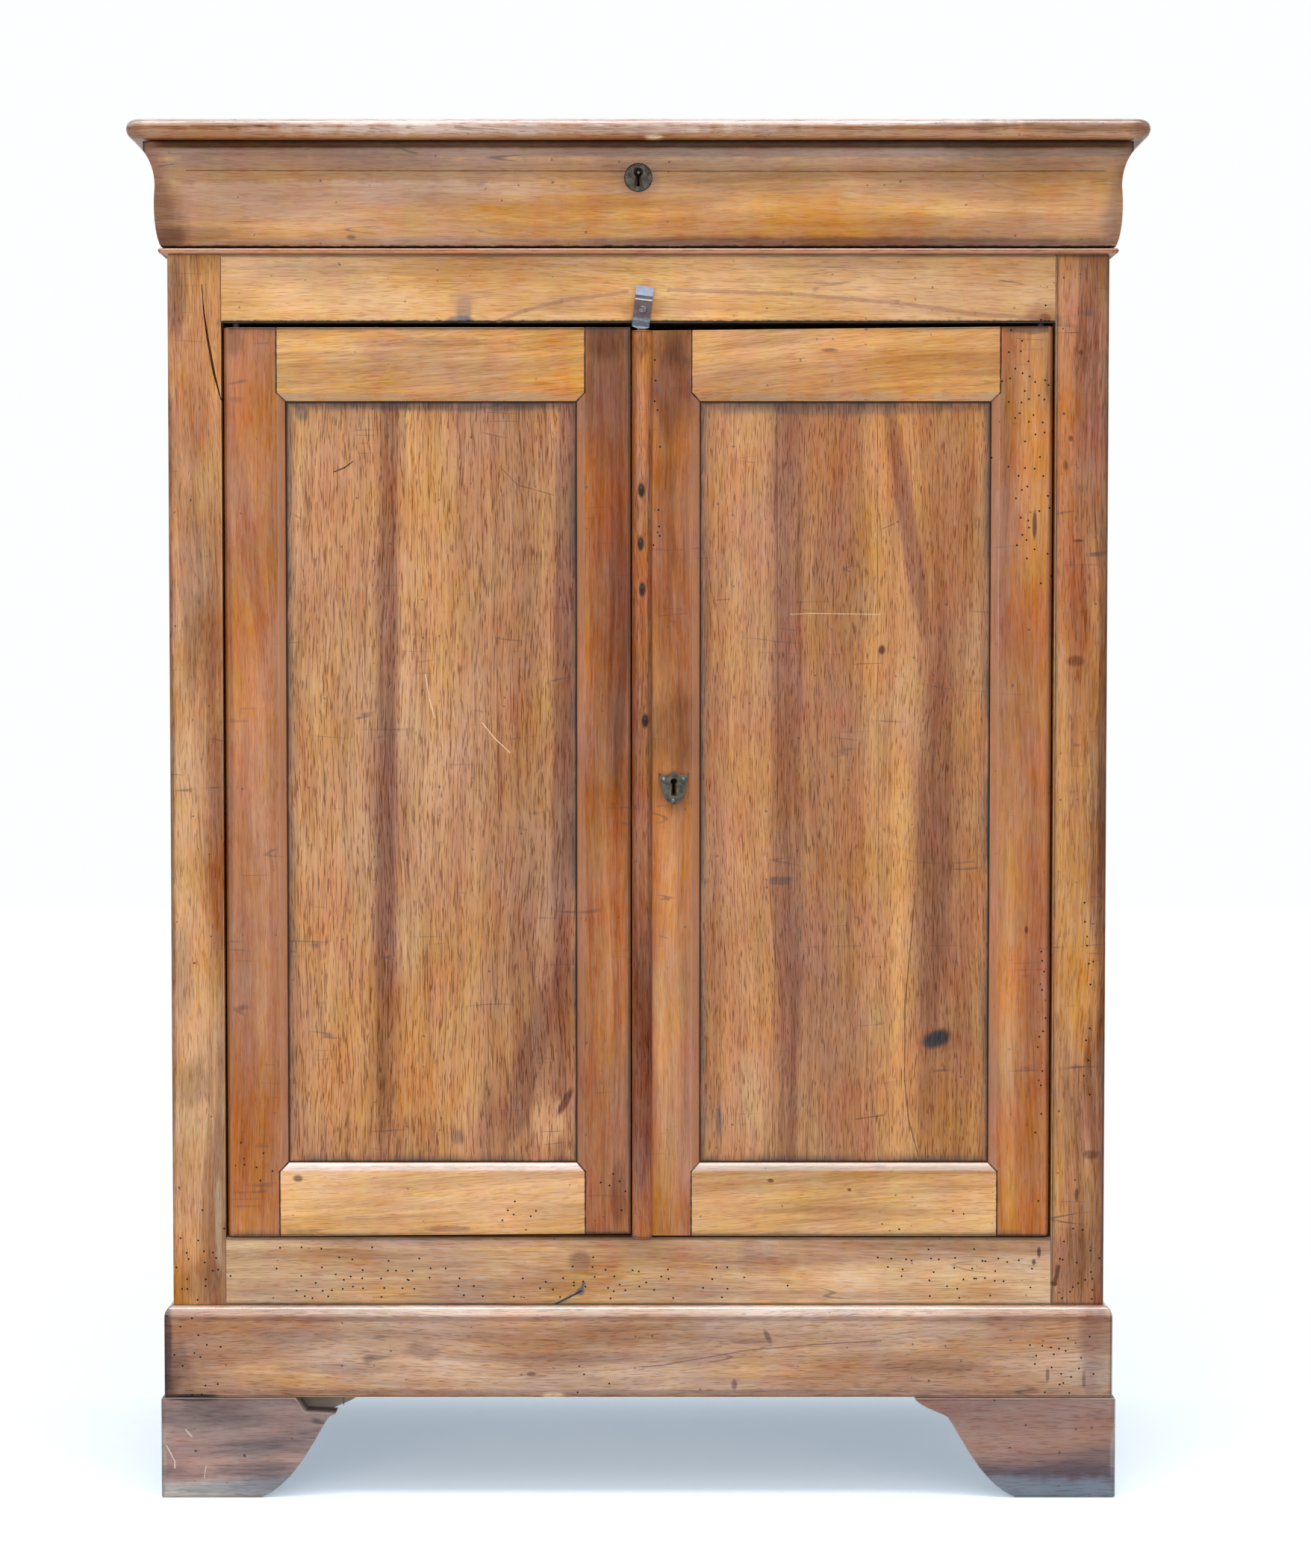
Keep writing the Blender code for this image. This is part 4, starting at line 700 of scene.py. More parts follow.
stile_marks = {
    "left_door_hinge_stile": [
        # The dark strip at x -404 is painted shade along the rounded hinge edge.
        (-386, 960, 26, 420, RUSSET, 0.6, 0.5, FRONT, -0.16), (-404, 760, 14, 900, SMOKE_AND_SHADE, 0.5, 0.6),
        (-398, 1140, 34, 40, SMOKE_AND_SHADE, 0.5, 0.9), (-372, 620, 22, 520, HONEY, 0.4, 0.6),
        (-392, 480, 22, 380, RUSSET, 0.35, 0.7),
    ],
    "left_door_meeting_stile": [
        (-20, 860, 26, 460, SMOKE_AND_SHADE, 0.7, 0.6), (-34, 1090, 60, 190, SMOKE_AND_SHADE, 0.35),
        (-34, 1142, 90, 50, BLACKENED, 0.4, 0.9), (-28, 940, 50, 500, (0.27, 0.09, 0.038), 0.5, 0.7),
        (-34, 560, 26, 460, HONEY, 0.35, 0.6), (-20, 300, 20, 90, SMOKE_AND_SHADE, 0.5, 0.9),
    ],
    "right_door_meeting_stile": [
        (34, 1100, 60, 140, SMOKE_AND_SHADE, 0.7, 0.7), (40, 1140, 70, 70, BLACKENED, 0.5, 0.9),
        (26, 960, 26, 420, SMOKE_AND_SHADE, 0.5), (44, 820, 24, 420, RUSSET, 0.6, 0.6),
        (30, 470, 34, 520, HONEY, 0.4, 0.5), (35, 700, 46, 56, SMOKE_AND_SHADE, 0.5),
        (37, 756, 70, 110, SMOKE_AND_SHADE, 0.5),
    ],
    "right_door_hinge_stile": [
        (388, 1040, 44, 330, HONEY, 0.35, 0.7), (405, 1115, 14, 120, BLACKENED, 0.6, 0.9),
        (385, 1152, 80, 10, SMOKE_AND_SHADE, 0.6, 0.9), (358, 900, 18, 620, (0.25, 0.1, 0.055), 0.55, 0.6),
        (389, 962, 6, 40, SMOKE_AND_SHADE, 0.9), (390, 520, 24, 560, RUSSET, 0.5, 0.6),
        # The dark strip at x 404 is painted shade along the rounded hinge edge.
        (366, 460, 20, 500, HONEY, 0.35, 0.6), (404, 700, 8, 960, SMOKE_AND_SHADE, 0.6, 0.5),
        (383, 563, 5, 10, SMOKE_AND_SHADE, 0.9, 0.4),
    ],
}
stile_worms = {
    "left_door_hinge_stile": [holes(-385, 330, 40, 60)],
    "left_door_meeting_stile": [holes(-30, 300, 40, 70)],
    "right_door_meeting_stile": [holes(16, 1080, 16, 90), holes(20, 960, 16, 90)],
    "right_door_hinge_stile": [holes(386, 1080, 90, 260), holes(390, 950, 60, 120), holes(398, 430, 10, 300)],
}
for node, spots in stile_marks.items():
    waxed(
        node, 0.5 * MM, ALONG_Z, STILE_LIGHT, STILE_DARK, band=0.75, pores=0.4, fine=0.7,
        cloud=0.6, grime=0.6, grime_width=9 * MM, wear=0.6, worn=(0.33, 0.105, 0.026), handling=0.8,
        polish=0.5, marks=spots, lines=joint_lines(node.split("_door")[0] + "_door_panel"),
        worms=stile_worms[node],
    )
rail_marks = {
    "left_door_top_rail": [
        (-210, 1140, 200, 12, RUSSET, 0.4, 1.2), (-120, 1096, 150, 16, (0.42, 0.15, 0.05), 0.5, 1.0),
        (-330, 1120, 60, 30, HONEY, 0.5, 0.9),
    ],
    "right_door_top_rail": [
        (187, 1132, 22, 6, SMOKE_AND_SHADE, 0.7, 0.9), (250, 1128, 260, 14, (0.42, 0.17, 0.06), 0.45, 1.0),
    ],
    "left_door_bottom_rail": [
        (-337, 316, 14, 10, SMOKE_AND_SHADE, 0.8, 1.0), (-190, 266, 60, 8, (0.2, 0.08, 0.06), 0.6, 1.0),
        (-230, 290, 160, 10, (0.42, 0.2, 0.08), 0.4, 1.0),
    ],
    "right_door_bottom_rail": [
        (200, 284, 240, 12, (0.38, 0.17, 0.07), 0.45, 1.0), (131, 314, 8, 5, SMOKE_AND_SHADE, 0.8),
        (209, 305, 5, 4, SMOKE_AND_SHADE, 0.8),
    ],
}
rail_worms = {
    "left_door_bottom_rail": [holes(-110, 280, 60, 30)],
    "right_door_bottom_rail": [holes(312, 276, 40, 30), holes(230, 268, 60, 14)],
}
# Each bottom rail gets a painted highlight along its splay.
for door in ("left_door", "right_door"):
    splay_top = (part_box(door + "_panel")[0].z + PANEL_TONGUE) / MM
    rail_marks[door + "_bottom_rail"].append((0, splay_top - 3.5, FULL, 10, PAINTED_HIGHLIGHT, 0.85, 0.3))
for node, spots in rail_marks.items():
    low_rail = "bottom" in node
    waxed(
        node, 0.5 * MM, ALONG_X, LOW_RAIL_LIGHT if low_rail else RAIL_LIGHT,
        LOW_RAIL_DARK if low_rail else RAIL_DARK, band=0.65, pores=0.5, fine=0.7, cloud=0.6, handling=0.8,
        turn=math.radians(4), polish=0.7 if low_rail else 0.25, grime=0.5, wear=0.35,
        worn=(0.4, 0.28, 0.2), marks=spots, lines=joint_lines(node.split("_door")[0] + "_door_panel"),
        worms=rail_worms.get(node, ()),
    )

# Door panels: flat boards in the frames' grooves, brown with dense short pores and dark upright bands.
# Dirt has gathered where they meet the splays, and the right one has a knot.
PANEL_LIGHT = (0.57, 0.28, 0.11)
PANEL_DARK = (0.3, 0.115, 0.042)
PLUM = (0.19, 0.065, 0.036)
UMBER = (0.29, 0.11, 0.045)
GOLDEN = (0.62, 0.34, 0.145)
DIRT = (0.085, 0.065, 0.065)
PALE_SCRATCH = (0.75, 0.55, 0.38)
panel_marks = {
    "left_door_panel": [
        (-225, 760, 40, 1500, GOLDEN, 0.4, 0.6), (-248, 760, 28, 1500, PLUM, 0.65, 0.5, FRONT, 0.012),
        (-74, 760, 30, 1500, PLUM, 0.7, 0.5, FRONT, 0.01), (-135, 820, 120, 1300, UMBER, 0.35, 0.6),
        (-110, 425, 44, 260, PLUM, 0.55, 0.7, FRONT, 0.28), (-150, 370, 30, 120, PLUM, 0.45, 0.8, FRONT, 0.1),
        (-88, 372, 46, 60, GOLDEN, 0.6, 0.9), (-72, 392, 10, 34, SMOKE_AND_SHADE, 0.8, 0.9, FRONT, 0.5),
        (-179, 356, 18, 20, DIRT, 0.6, 0.9), (-330, 1072, 18, 22, DIRT, 0.6, 0.9),
        (-190, 1079, 330, 16, DIRT, 0.55, 1.2), (-240, 352, 240, 60, UMBER, 0.4, 1.0),
    ],
    "right_door_panel": [
        (92, 760, 90, 1500, (0.4, 0.165, 0.07), 0.4, 0.6),
        (200, 960, 400, 420, (0.4, 0.17, 0.065), 0.35, 0.5), (149, 760, 44, 1500, PLUM, 0.7, 0.4),
        (192, 760, 90, 1500, UMBER, 0.65, 0.5), (76, 760, 30, 1500, UMBER, 0.4, 0.6),
        (264, 970, 26, 330, PLUM, 0.75, 0.35, FRONT, -0.16), (310, 960, 70, 420, UMBER, 0.6, 0.5),
        (291, 640, 56, 640, PLUM, 0.7, 0.4, FRONT, 0.03), (320, 560, 40, 620, UMBER, 0.5, 0.6),
        (254, 600, 22, 620, (0.56, 0.26, 0.09), 0.3, 0.4),
        (302, 452, 64, 26, (0.3, 0.11, 0.045), 0.7, 0.9),
        (294, 454, 34, 27, (0.05, 0.05, 0.055), 1.0, 0.7, FRONT, 0.5),
        (240, 839, 9, 12, SMOKE_AND_SHADE, 0.9, 0.6), (195, 775, 40, 22, (0.34, 0.11, 0.04), 0.6, 1.0),
        (72, 440, 18, 220, UMBER, 0.6, 0.7), (80, 372, 10, 44, DIRT, 0.6),
        (198, 1076, 330, 18, DIRT, 0.4, 1.2),
    ],
}
KNOT_CRACK = ((274, 600), (264, 486), (264, 412), (268, 374), (278, 337))
panel_lines = {
    "left_door_panel": strokes([(-299, 1014), (-289, 1018), (-281, 1024)], 1.5)
    + strokes([(-136, 1019), (-119, 1001), (-104, 997), (-83, 991)], 0.9, SEAM_AND_SHADE, 0.6)
    + strokes([(-210, 815), (-206, 790), (-201, 772)], 1.2, PALE_SCRATCH, 0.7)
    + strokes([(-154, 767), (-141, 751), (-127, 738)], 1.2, PALE_SCRATCH, 0.7)
    + strokes([(-330, 1030), (-322, 1000)], 0.8, SEAM_AND_SHADE, 0.4),
    "right_door_panel": strokes(KNOT_CRACK, 1.5, SMOKE_AND_SHADE, 0.75)
    + strokes([(235, 1080), (236, 840), (238, 560)], 0.9, SMOKE_AND_SHADE, 0.5)
    + strokes([(136, 1080), (138, 760), (133, 340)], 1.3, SMOKE_AND_SHADE, 0.5)
    + strokes([(80, 420), (82, 340)], 1.0, SMOKE_AND_SHADE, 0.5)
    + strokes([(212, 825), (240, 826)], 0.9, SEAM_AND_SHADE, 0.5)
    + strokes([(216, 374), (244, 378)], 1.3, SEAM_AND_SHADE, 0.6)
    + strokes([(240, 958), (252, 963)], 0.9, SEAM_AND_SHADE, 0.6)
    + strokes([(77, 888), (90, 889)], 0.9, SEAM_AND_SHADE, 0.6)
    + strokes([(150, 874), (170, 875), (238, 874)], 0.9, PALE_SCRATCH, 0.5),
}
for node, spots in panel_marks.items():
    waxed(
        node, 0.4 * MM, ALONG_Z, PANEL_LIGHT, PANEL_DARK, bloom=1.05, band=0.75,
        pores=1.0, grime=0.8, grime_width=12 * MM, line=0.95, wear=0, handling=0.9, marks=spots,
        lines=panel_lines[node], housed=PANEL_TONGUE,
    )

# Meeting bead: a half-round strip nailed over the gap on the right door's edge, with painted shade along
# its right side, and stained black round its nails.
BEAD_NAILS = ((2.9, 997.3), (2.2, 944.7), (3.7, 900.1), (6.6, 771.0))
waxed(
    "meeting_bead", 0.8 * MM, ALONG_Z, (0.48, 0.155, 0.036), (0.19, 0.048, 0.012),
    band=0.7, fine=0.6, cloud=0.6, grime=0.5, wear=0, sheen=0.34, polish=0.15,
    marks=[
        # The first mark is painted shade along the bead's right side.
        (11, 700, 8, 1000, SMOKE_AND_SHADE, 0.6, 0.7), (2, 1070, 12, 300, (0.5, 0.21, 0.075), 0.6, 0.7),
        (3.7, 1135, 18, 30, SMOKE_AND_SHADE, 0.5, 1.0), (3.7, 420, 26, 420, (0.13, 0.045, 0.03), 0.75, 0.7),
        *[(x, z - 2, 9, 20, SEAM_AND_SHADE, 0.95, 0.7) for x, z in BEAD_NAILS],
    ],
)

# Frieze: the drawer front and the sides carry one ogee, a hollow under the top and a belly below, over
# a small bead. The belly is golden and knocked, with painted sheen on it; the hollow is greyed by dust and a
# painted reflection, under a painted shadow from the top.
BELLY_LIGHT = (0.62, 0.32, 0.12)
BELLY_DARK = (0.36, 0.155, 0.05)
SHADE_AND_CREASE = (0.03, 0.01, 0.006)
PAINTED_SHEEN = (0.42, 0.26, 0.195)
GILT = (0.66, 0.34, 0.11)
drawer_marks = [
    (0, 1310, FULL, 16, (0.26, 0.13, 0.085), 0.55, 0.9),
    # The grey band at 1322 is dust together with a painted reflection in the hollow.
    (0, 1322, FULL, 15, (0.16, 0.105, 0.1), 0.7, 0.5),
    # The two dark bands at 1329 and 1335 are painted shadow under the top's nose.
    (0, 1329, FULL, 11, (0.045, 0.016, 0.008), 0.92, 0.3), (0, 1335, FULL, 13, SHADE_AND_CREASE, 0.97, 0.1),
    (0, 1233, FULL, 22, (0.3, 0.13, 0.055), 0.7, 0.5),
    # The pale greyish patches on the upper belly and the band near its lower edge are painted sheen.
    (-280, 1275, 560, 90, (0.54, 0.325, 0.2), 0.55, 0.9),
    (-300, 1288, 460, 44, PAINTED_SHEEN, 0.45, 0.9, FRONT, 4.0), (-60, 1286, 260, 14, PAINTED_SHEEN, 0.3, 0.9),
    (-150, 1262, 520, 26, GILT, 0.5, 0.9), (330, 1268, 260, 24, GILT, 0.5, 0.9),
    (210, 1287, 320, 12, (0.42, 0.2, 0.09), 0.5), (-200, 1238, 500, 10, PAINTED_SHEEN, 0.35, 0.7),
    (-300, 1307, 700, 36, (0.235, 0.125, 0.085), 0.7, 0.9),
    (0, 1302, FULL, 20, (0.33, 0.15, 0.045), 0.6, 0.9),
    (210, 1236, 760, 14, (0.19, 0.085, 0.05), 0.8, 0.7),
    (-340, 1249, 420, 26, (0.56, 0.27, 0.08), 0.6, 0.9),
    (0, 1298, 60, 52, (0.26, 0.13, 0.09), 0.55, 0.9),
    # The dark ends are grime together with painted shade where the front turns away at each end.
    (-478, 1278, 80, 190, (0.2, 0.085, 0.045), 0.8, 0.7, FRONT, -0.2),
    (478, 1278, 60, 190, (0.2, 0.085, 0.045), 0.7, 0.7, FRONT, 0.2),
    (-462, 1240, 60, 30, SMOKE_AND_SHADE, 0.5, 0.9), (-430, 1245, 90, 16, SMOKE_AND_SHADE, 0.35, 0.9),
    (-280, 1241, 14, 7, SMOKE_AND_SHADE, 0.6),
]
# The line at 1305 marks the crease where the hollow meets the belly; the black lines at 1334 and 1231.5 are
# painted shadow under the top and painted shade in the gap above the bead.
drawer_lines = strokes([(-440, 1305), (-120, 1304.5), (300, 1304), (455, 1304.5)], 1.6, SHADE_AND_CREASE, 0.55)
drawer_lines += strokes([(-480, 1334), (480, 1334)], 7, BLACKENED, 0.95)
drawer_lines += strokes([(-478, 1231.5), (478, 1231.5)], 4, BLACKENED, 0.95)
drawer_lines += strokes([(330, 1303), (350, 1290), (385, 1283)], 2.5, (0.3, 0.14, 0.07), 0.5)
drawer_front = waxed(
    "drawer_front", 0.6 * MM, ALONG_X, BELLY_LIGHT, BELLY_DARK, band=0.6, pores=0.4, fine=0.4,
    cloud=1.2, polish=0.25, grime=0.4, wear=0, handling=1.0, sheen=0.36, marks=drawer_marks,
    lines=drawer_lines,
)
for node in ("left_frieze_side", "right_frieze_side"):
    waxed(node, 0.6 * MM, ALONG_Y, BELLY_LIGHT, BELLY_DARK, wear=0, grime=0.4, marks=drawer_marks)
waxed(
    "drawer_rail_bead", 0.4 * MM, ALONG_X, (0.42, 0.18, 0.085), (0.25, 0.09, 0.04),
    wear=0, grime=0.2, sheen=0.33,
)

# Drawer box: thin plain sides dovetailed up into the front, a bottom in grooves, and a back.
for node, grain in (
    ("drawer_left_side", ALONG_Y), ("drawer_right_side", ALONG_Y), ("drawer_back", ALONG_X),
    ("drawer_bottom", ALONG_Y),
):
    waxed(
        node, 0.6 * MM, grain, INSIDE_LIGHT, INSIDE_DARK, pores=0.25, grime=0.3, wear=0.15,
        sheen=0.65
    )

# Top: one wide board with a rounded edge on three sides, faded on its upper face and shiny on the nose,
# where a painted highlight runs along it and painted shade darkens its ends.
TOP_LIGHT = (0.47, 0.22, 0.09)
TOP_DARK = (0.25, 0.09, 0.03)
NOSE_FRONT = -0.235
CHIP_X = 15
CHIP_SIZE = (10.5 * MM, 4.5 * MM, 2 * MM)
top = waxed(
    "top_board", 0.6 * MM, ALONG_X, TOP_LIGHT, TOP_DARK,
    band=0.6, fine=0.6, cloud=0.9, polish=0.45, wear=0, grime=0.25, handling=0.8, sheen=0.33,
    marks=[
        (CHIP_X, 1334.4, 24, 4, FRESH, 0.95, 0.4, NOSE_FRONT),
        (-100, 1342.5, FULL, 5, STAIN_AND_SHADE, 0.4, 1.4, NOSE_FRONT),
        # The two pale bands along the nose are painted highlight; the dark patch at the right end is painted
        # shade where that highlight falls away.
        (0, 1349, FULL, 11, (0.62, 0.52, 0.49), 0.65, 0.9, NOSE_FRONT),
        (-110, 1341, 660, 11, (0.64, 0.52, 0.46), 0.5, 1.2, NOSE_FRONT),
        (440, 1346, 320, 20, (0.19, 0.085, 0.04), 0.85, 1.0, NOSE_FRONT),
        (-380, 1346, 120, 8, STAIN_AND_SHADE, 0.35, 1.0, NOSE_FRONT),
        # The dark patches at both ends are painted shade.
        (494, 1344, 50, 60, STAIN_AND_SHADE, 0.6, 0.6, NOSE_FRONT), (-494, 1340, 40, 60, STAIN_AND_SHADE, 0.4, 0.6, NOSE_FRONT),
        (330, 1345, 160, 8, STAIN_AND_SHADE, 0.3, 1.0, NOSE_FRONT),
    ],
)
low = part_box("top_board")[0]
chip_place = (CHIP_X * MM, low.y + 2.5 * MM, low.z - 0.3 * MM)
bpy.ops.mesh.primitive_ico_sphere_add(subdivisions=3, radius=1, location=chip_place)
chip = bpy.context.object
bpy.ops.object.mode_set(mode="EDIT")
bpy.ops.mesh.select_all(action="SELECT")
bpy.ops.transform.resize(value=CHIP_SIZE)
bpy.ops.transform.vertex_random(offset=0.7 * MM, uniform=1.0, seed=4)
bpy.ops.object.mode_set(mode="OBJECT")
carve(top, chip)
bpy.data.objects.remove(chip)

# Turn button: a strip of beaten iron on one slotted screw, its upper end bent out for a thumb. Painted
# bands of highlight, reflection and shade cross its bends and ends; the middle is brown with old rust.
IRON_BARE = (0.26, 0.265, 0.28)
IRON_BLACK = (0.045, 0.042, 0.045)
IRON_RUST = (0.13, 0.065, 0.035)
BUTTON_TILT = math.radians(6.8)


def metal_age_group():
    """Where old metal is tarnished, rusted, pitted and rubbed bright."""
    group, given, made = new_group("metal_age", "Place Facing", "", "", "Tarnish Rust Pits Rubbed")
    cloudy = noise(given["Place"], (170, 170, 170), 4, 0.6)
    patches = noise(given["Place"], (310, 210, 260), 5, 0.7)
    grains = noise(given["Place"], (1900, 1900, 1900), 2)
    facing = vector("ABSOLUTE", given["Facing"])
    turns = parts(facing)
    squarest = figure("MAXIMUM", turns[0], figure("MAXIMUM", turns[1], turns[2]))
    edge = fade(squarest, 0.99, 0.8)
    wire(fade(cloudy, 0.35, 0.65), made["Tarnish"])
    wire(fade(patches, 0.48, 0.62), made["Rust"])
    wire(fade(grains, 0.4, 0.7), made["Pits"])
    wire(times(edge, fade(patches, 0.62, 0.4)), made["Rubbed"])
    return group


METAL_AGE = metal_age_group()


def aged(piece, name, bare, tarnish, rust, rusted=0.6, rubbed=0.8, sheen=0.42, bends=(), bright=None):
    """Old metal for one piece: tarnish in clouds, rust in patches, fine pits and rubbed edges, and bands
    along a tilt that carry rust and painted highlight, reflection and shade.
    """
    tree, shader, coordinates = new_material(piece, name + "_metal")
    inputs = {"Place": coordinates["Object"], "Facing": coordinates["Normal"]}
    age = lay(tree, METAL_AGE, inputs)
    colour = stain(age["Tarnish"], bare, tarnish)
    rusty = times(age["Rust"], rusted)
    colour = stain(rusty, colour, rust)
    for centre, low, high, shade in bends:
        offset = vector("SUBTRACT", coordinates["Object"], centre)
        lean = {0: offset, 1: (math.sin(BUTTON_TILT), 0, math.cos(BUTTON_TILT))}
        rise = lay(tree, "VectorMath", lean, operation="DOT_PRODUCT")["Value"]
        above = fade(rise, low * MM - 0.5 * MM, low * MM + 0.5 * MM)
        below = fade(rise, high * MM + 0.5 * MM, high * MM - 0.5 * MM)
        share = times(times(above, below), 0.85)
        colour = stain(share, colour, shade)
    colour = stain(times(age["Rubbed"], rubbed), colour, bright or bare)
    wire(colour, shader.inputs["Base Color"])
    wire(less(1.0, times(rusty, 0.8)), shader.inputs["Metallic"])
    rough = blend(age["Pits"], 0.18, sheen)
    wire(blend(rusty, 0.2, rough), shader.inputs["Roughness"])
    hollow = figure("ADD", age["Pits"], age["Tarnish"])
    bump = lay(tree, "Bump", {"Strength": 0.5, "Distance": 0.25 * MM, "Height": hollow})
    wire(bump[0], shader.inputs["Normal"])
    return piece


button = worked("turn_button", 0.45 * MM, 3)
button_axis = sum(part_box("turn_button_screw"), Vector()) / 2
# Bands along the tilt, from the top: painted reflection on the tab, painted shade and a painted highlight at
# the upper bend, the rust-brown middle, painted shade at the lower bend, and painted reflection and highlight
# on the lower end.
button_bends = [
    (button_axis, 13.5, 30.0, (0.55, 0.62, 0.8)), (button_axis, 10.2, 13.5, (0.12, 0.12, 0.145)),
    (button_axis, 9.0, 10.2, (0.75, 0.68, 0.63)), (button_axis, -8.0, 9.0, (0.12, 0.082, 0.08)),
    (button_axis, -9.2, -8.0, (0.05, 0.035, 0.03)), (button_axis, -17.0, -9.2, (0.075, 0.1, 0.13)),
    (button_axis, -30.0, -17.0, (0.28, 0.32, 0.37)),
]
aged(button, "turn_button", IRON_BARE, IRON_BLACK, IRON_RUST, rusted=0.3, rubbed=0.3, bends=button_bends)

# Screws and nails: iron heads filed to low domes, each beaten or turned in from the face, and a slot sawn
# aslant across the screw of the turn button.
HEAD_SWELL = 0.42
SLOT_WIDTH = 1.0 * MM
SLOT_TURN = math.radians(-44)


def domed_head(name, radius, body):
    """A low dome that faces forward, made from one half of a flattened ball."""
    bpy.ops.mesh.primitive_uv_sphere_add(segments=24, ring_count=12, radius=radius)
    head = bpy.context.object
    head.name = name
    bpy.ops.object.mode_set(mode="EDIT")
    bpy.ops.mesh.select_all(action="SELECT")
    bpy.ops.transform.resize(value=(1, HEAD_SWELL, 1))
    bpy.ops.mesh.bisect(
        plane_co=(0, 0, 0), plane_no=(0, 1, 0), use_fill=True, clear_outer=True, threshold=0.001 * MM
    )
    bpy.ops.object.mode_set(mode="OBJECT")
    bpy.ops.object.shade_smooth_by_angle(angle=math.radians(40))
    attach(head, body)
    return head


def copied(piece, name, place, body, size=1.0, turn=0.0):
    """A copy with its own mesh, set at a place."""
    twin = piece.copy()
    twin.data = piece.data.copy()
    twin.name = name
    bpy.context.scene.collection.objects.link(twin)
    twin.location = place
    twin.scale = (size, size, size)
    twin.rotation_euler.z = turn
    select_only(twin)
    bpy.ops.object.transform_apply(location=True, rotation=True, scale=True)
    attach(twin, body)
    return twin


def cutter_box(place, size, turn=0.0):
    """A block for cutting, turned in the plane of the front."""
    bpy.ops.mesh.primitive_cube_add(size=1, location=place, rotation=(0, turn, 0), scale=size)
    return bpy.context.object


screw = worked("turn_button_screw", 0.9 * MM, 4)
screw_front = (button_axis.x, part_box("turn_button_screw")[0].y, button_axis.z)
sawn = cutter_box(screw_front, (14 * MM, 2.0 * MM, SLOT_WIDTH), SLOT_TURN)
carve(screw, sawn)
bpy.data.objects.remove(sawn)
aged(screw, "turn_button_screw", (0.3, 0.3, 0.3), IRON_BLACK, IRON_RUST, rusted=0.15, sheen=0.25)

BEAD_NAIL_RADIUS = 1.9 * MM
bead_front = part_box("meeting_bead")[0].y
nail = domed_head("bead_nail", BEAD_NAIL_RADIUS, "right_door")
aged(nail, "bead_nail", (0.06, 0.055, 0.055), BLACKENED, IRON_RUST, rusted=0.3, rubbed=0.4, sheen=0.4)
for number, (x, z) in enumerate(BEAD_NAILS, 1):
    copied(nail, "bead_nail_%d" % number, (x * MM, bead_front + 0.4 * MM, z * MM), "right_door")
BACK_NAIL_SIZE = 1.5
NAIL_FROM_SIDE = 45 * MM
NAIL_FROM_END = 24 * MM
aged(spike, "foot_nail", IRON_BARE, IRON_BLACK, IRON_RUST, rusted=0.6, rubbed=0.3)
for board in ("back_board_left", "back_board_right"):
    low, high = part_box(board)
    for x in (low.x + NAIL_FROM_SIDE, high.x - NAIL_FROM_SIDE):
        for z in (low.z + NAIL_FROM_END, (low.z + high.z) / 2, high.z - NAIL_FROM_END):
            name = "%s_nail_%d_%d" % (board, round(x / MM), round(z / MM))
            copied(nail, name, (x, high.y, z), "carcass", BACK_NAIL_SIZE, math.pi)
bpy.data.objects.remove(nail)

# Lock plates: a beaten shield pinned over the keyhole of the right door, and a round bush let into the
# drawer front, both gone grey-green, with larger worn keyholes through to the locks behind.
BRASS_BARE = (0.12, 0.112, 0.09)
BRASS_GREEN = (0.045, 0.045, 0.038)
BRASS_BROWN = (0.1, 0.07, 0.045)


def open_keyhole(pieces, x, z, radius, neck, foot, drop, span):
    """Opens a worn keyhole through pieces: a round, and a slot under it that widens to its foot."""
    middle = (span[0] + span[1]) / 2
    deep = span[1] - span[0]
    bpy.ops.mesh.primitive_cylinder_add(
        vertices=32, radius=radius, depth=deep, location=(x, middle, z), rotation=ALONG_Y
    )
    bore = bpy.context.object
    slot = cutter_box((x, middle, z - drop / 2), (neck, deep, drop))
    edit_lower_end(slot)
    bpy.ops.transform.resize(value=(foot / neck, 1, 1))
    bpy.ops.object.mode_set(mode="OBJECT")
    for piece in pieces:
        carve(piece, bore)
        carve(piece, slot)
    bpy.data.objects.remove(bore)
    bpy.data.objects.remove(slot)


shield = worked("door_escutcheon", 0.5 * MM, 3)
low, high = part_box("door_escutcheon")
shield_x, _, shield_z = (low + high) / 2
worn_stile = bpy.data.objects["right_door_meeting_stile_worked"]
open_keyhole(
    (shield, worn_stile), shield_x, shield_z + 5.5 * MM,
    radius=3.4 * MM, neck=4.4 * MM, foot=5.4 * MM, drop=13.6 * MM, span=(low.y - 2 * MM, low.y + 14 * MM),
)
aged(shield, "door_escutcheon", BRASS_BARE, BRASS_GREEN, BRASS_BROWN, rusted=0.55, bright=(0.6, 0.6, 0.58))
SHIELD_PINS = ((-10.0, 8.4), (9.3, 8.4), (-0.8, -12.9))
pin = domed_head("shield_pin", 1.7 * MM, "right_door")
aged(pin, "shield_pin", (0.3, 0.3, 0.29), IRON_BLACK, BRASS_BROWN, rusted=0.2, rubbed=0.6, sheen=0.25)
for number, (x, z) in enumerate(SHIELD_PINS, 1):
    place = (shield_x + x * MM, low.y + 0.1 * MM, shield_z + z * MM)
    copied(pin, "shield_pin_%d" % number, place, "right_door")
bpy.data.objects.remove(pin)

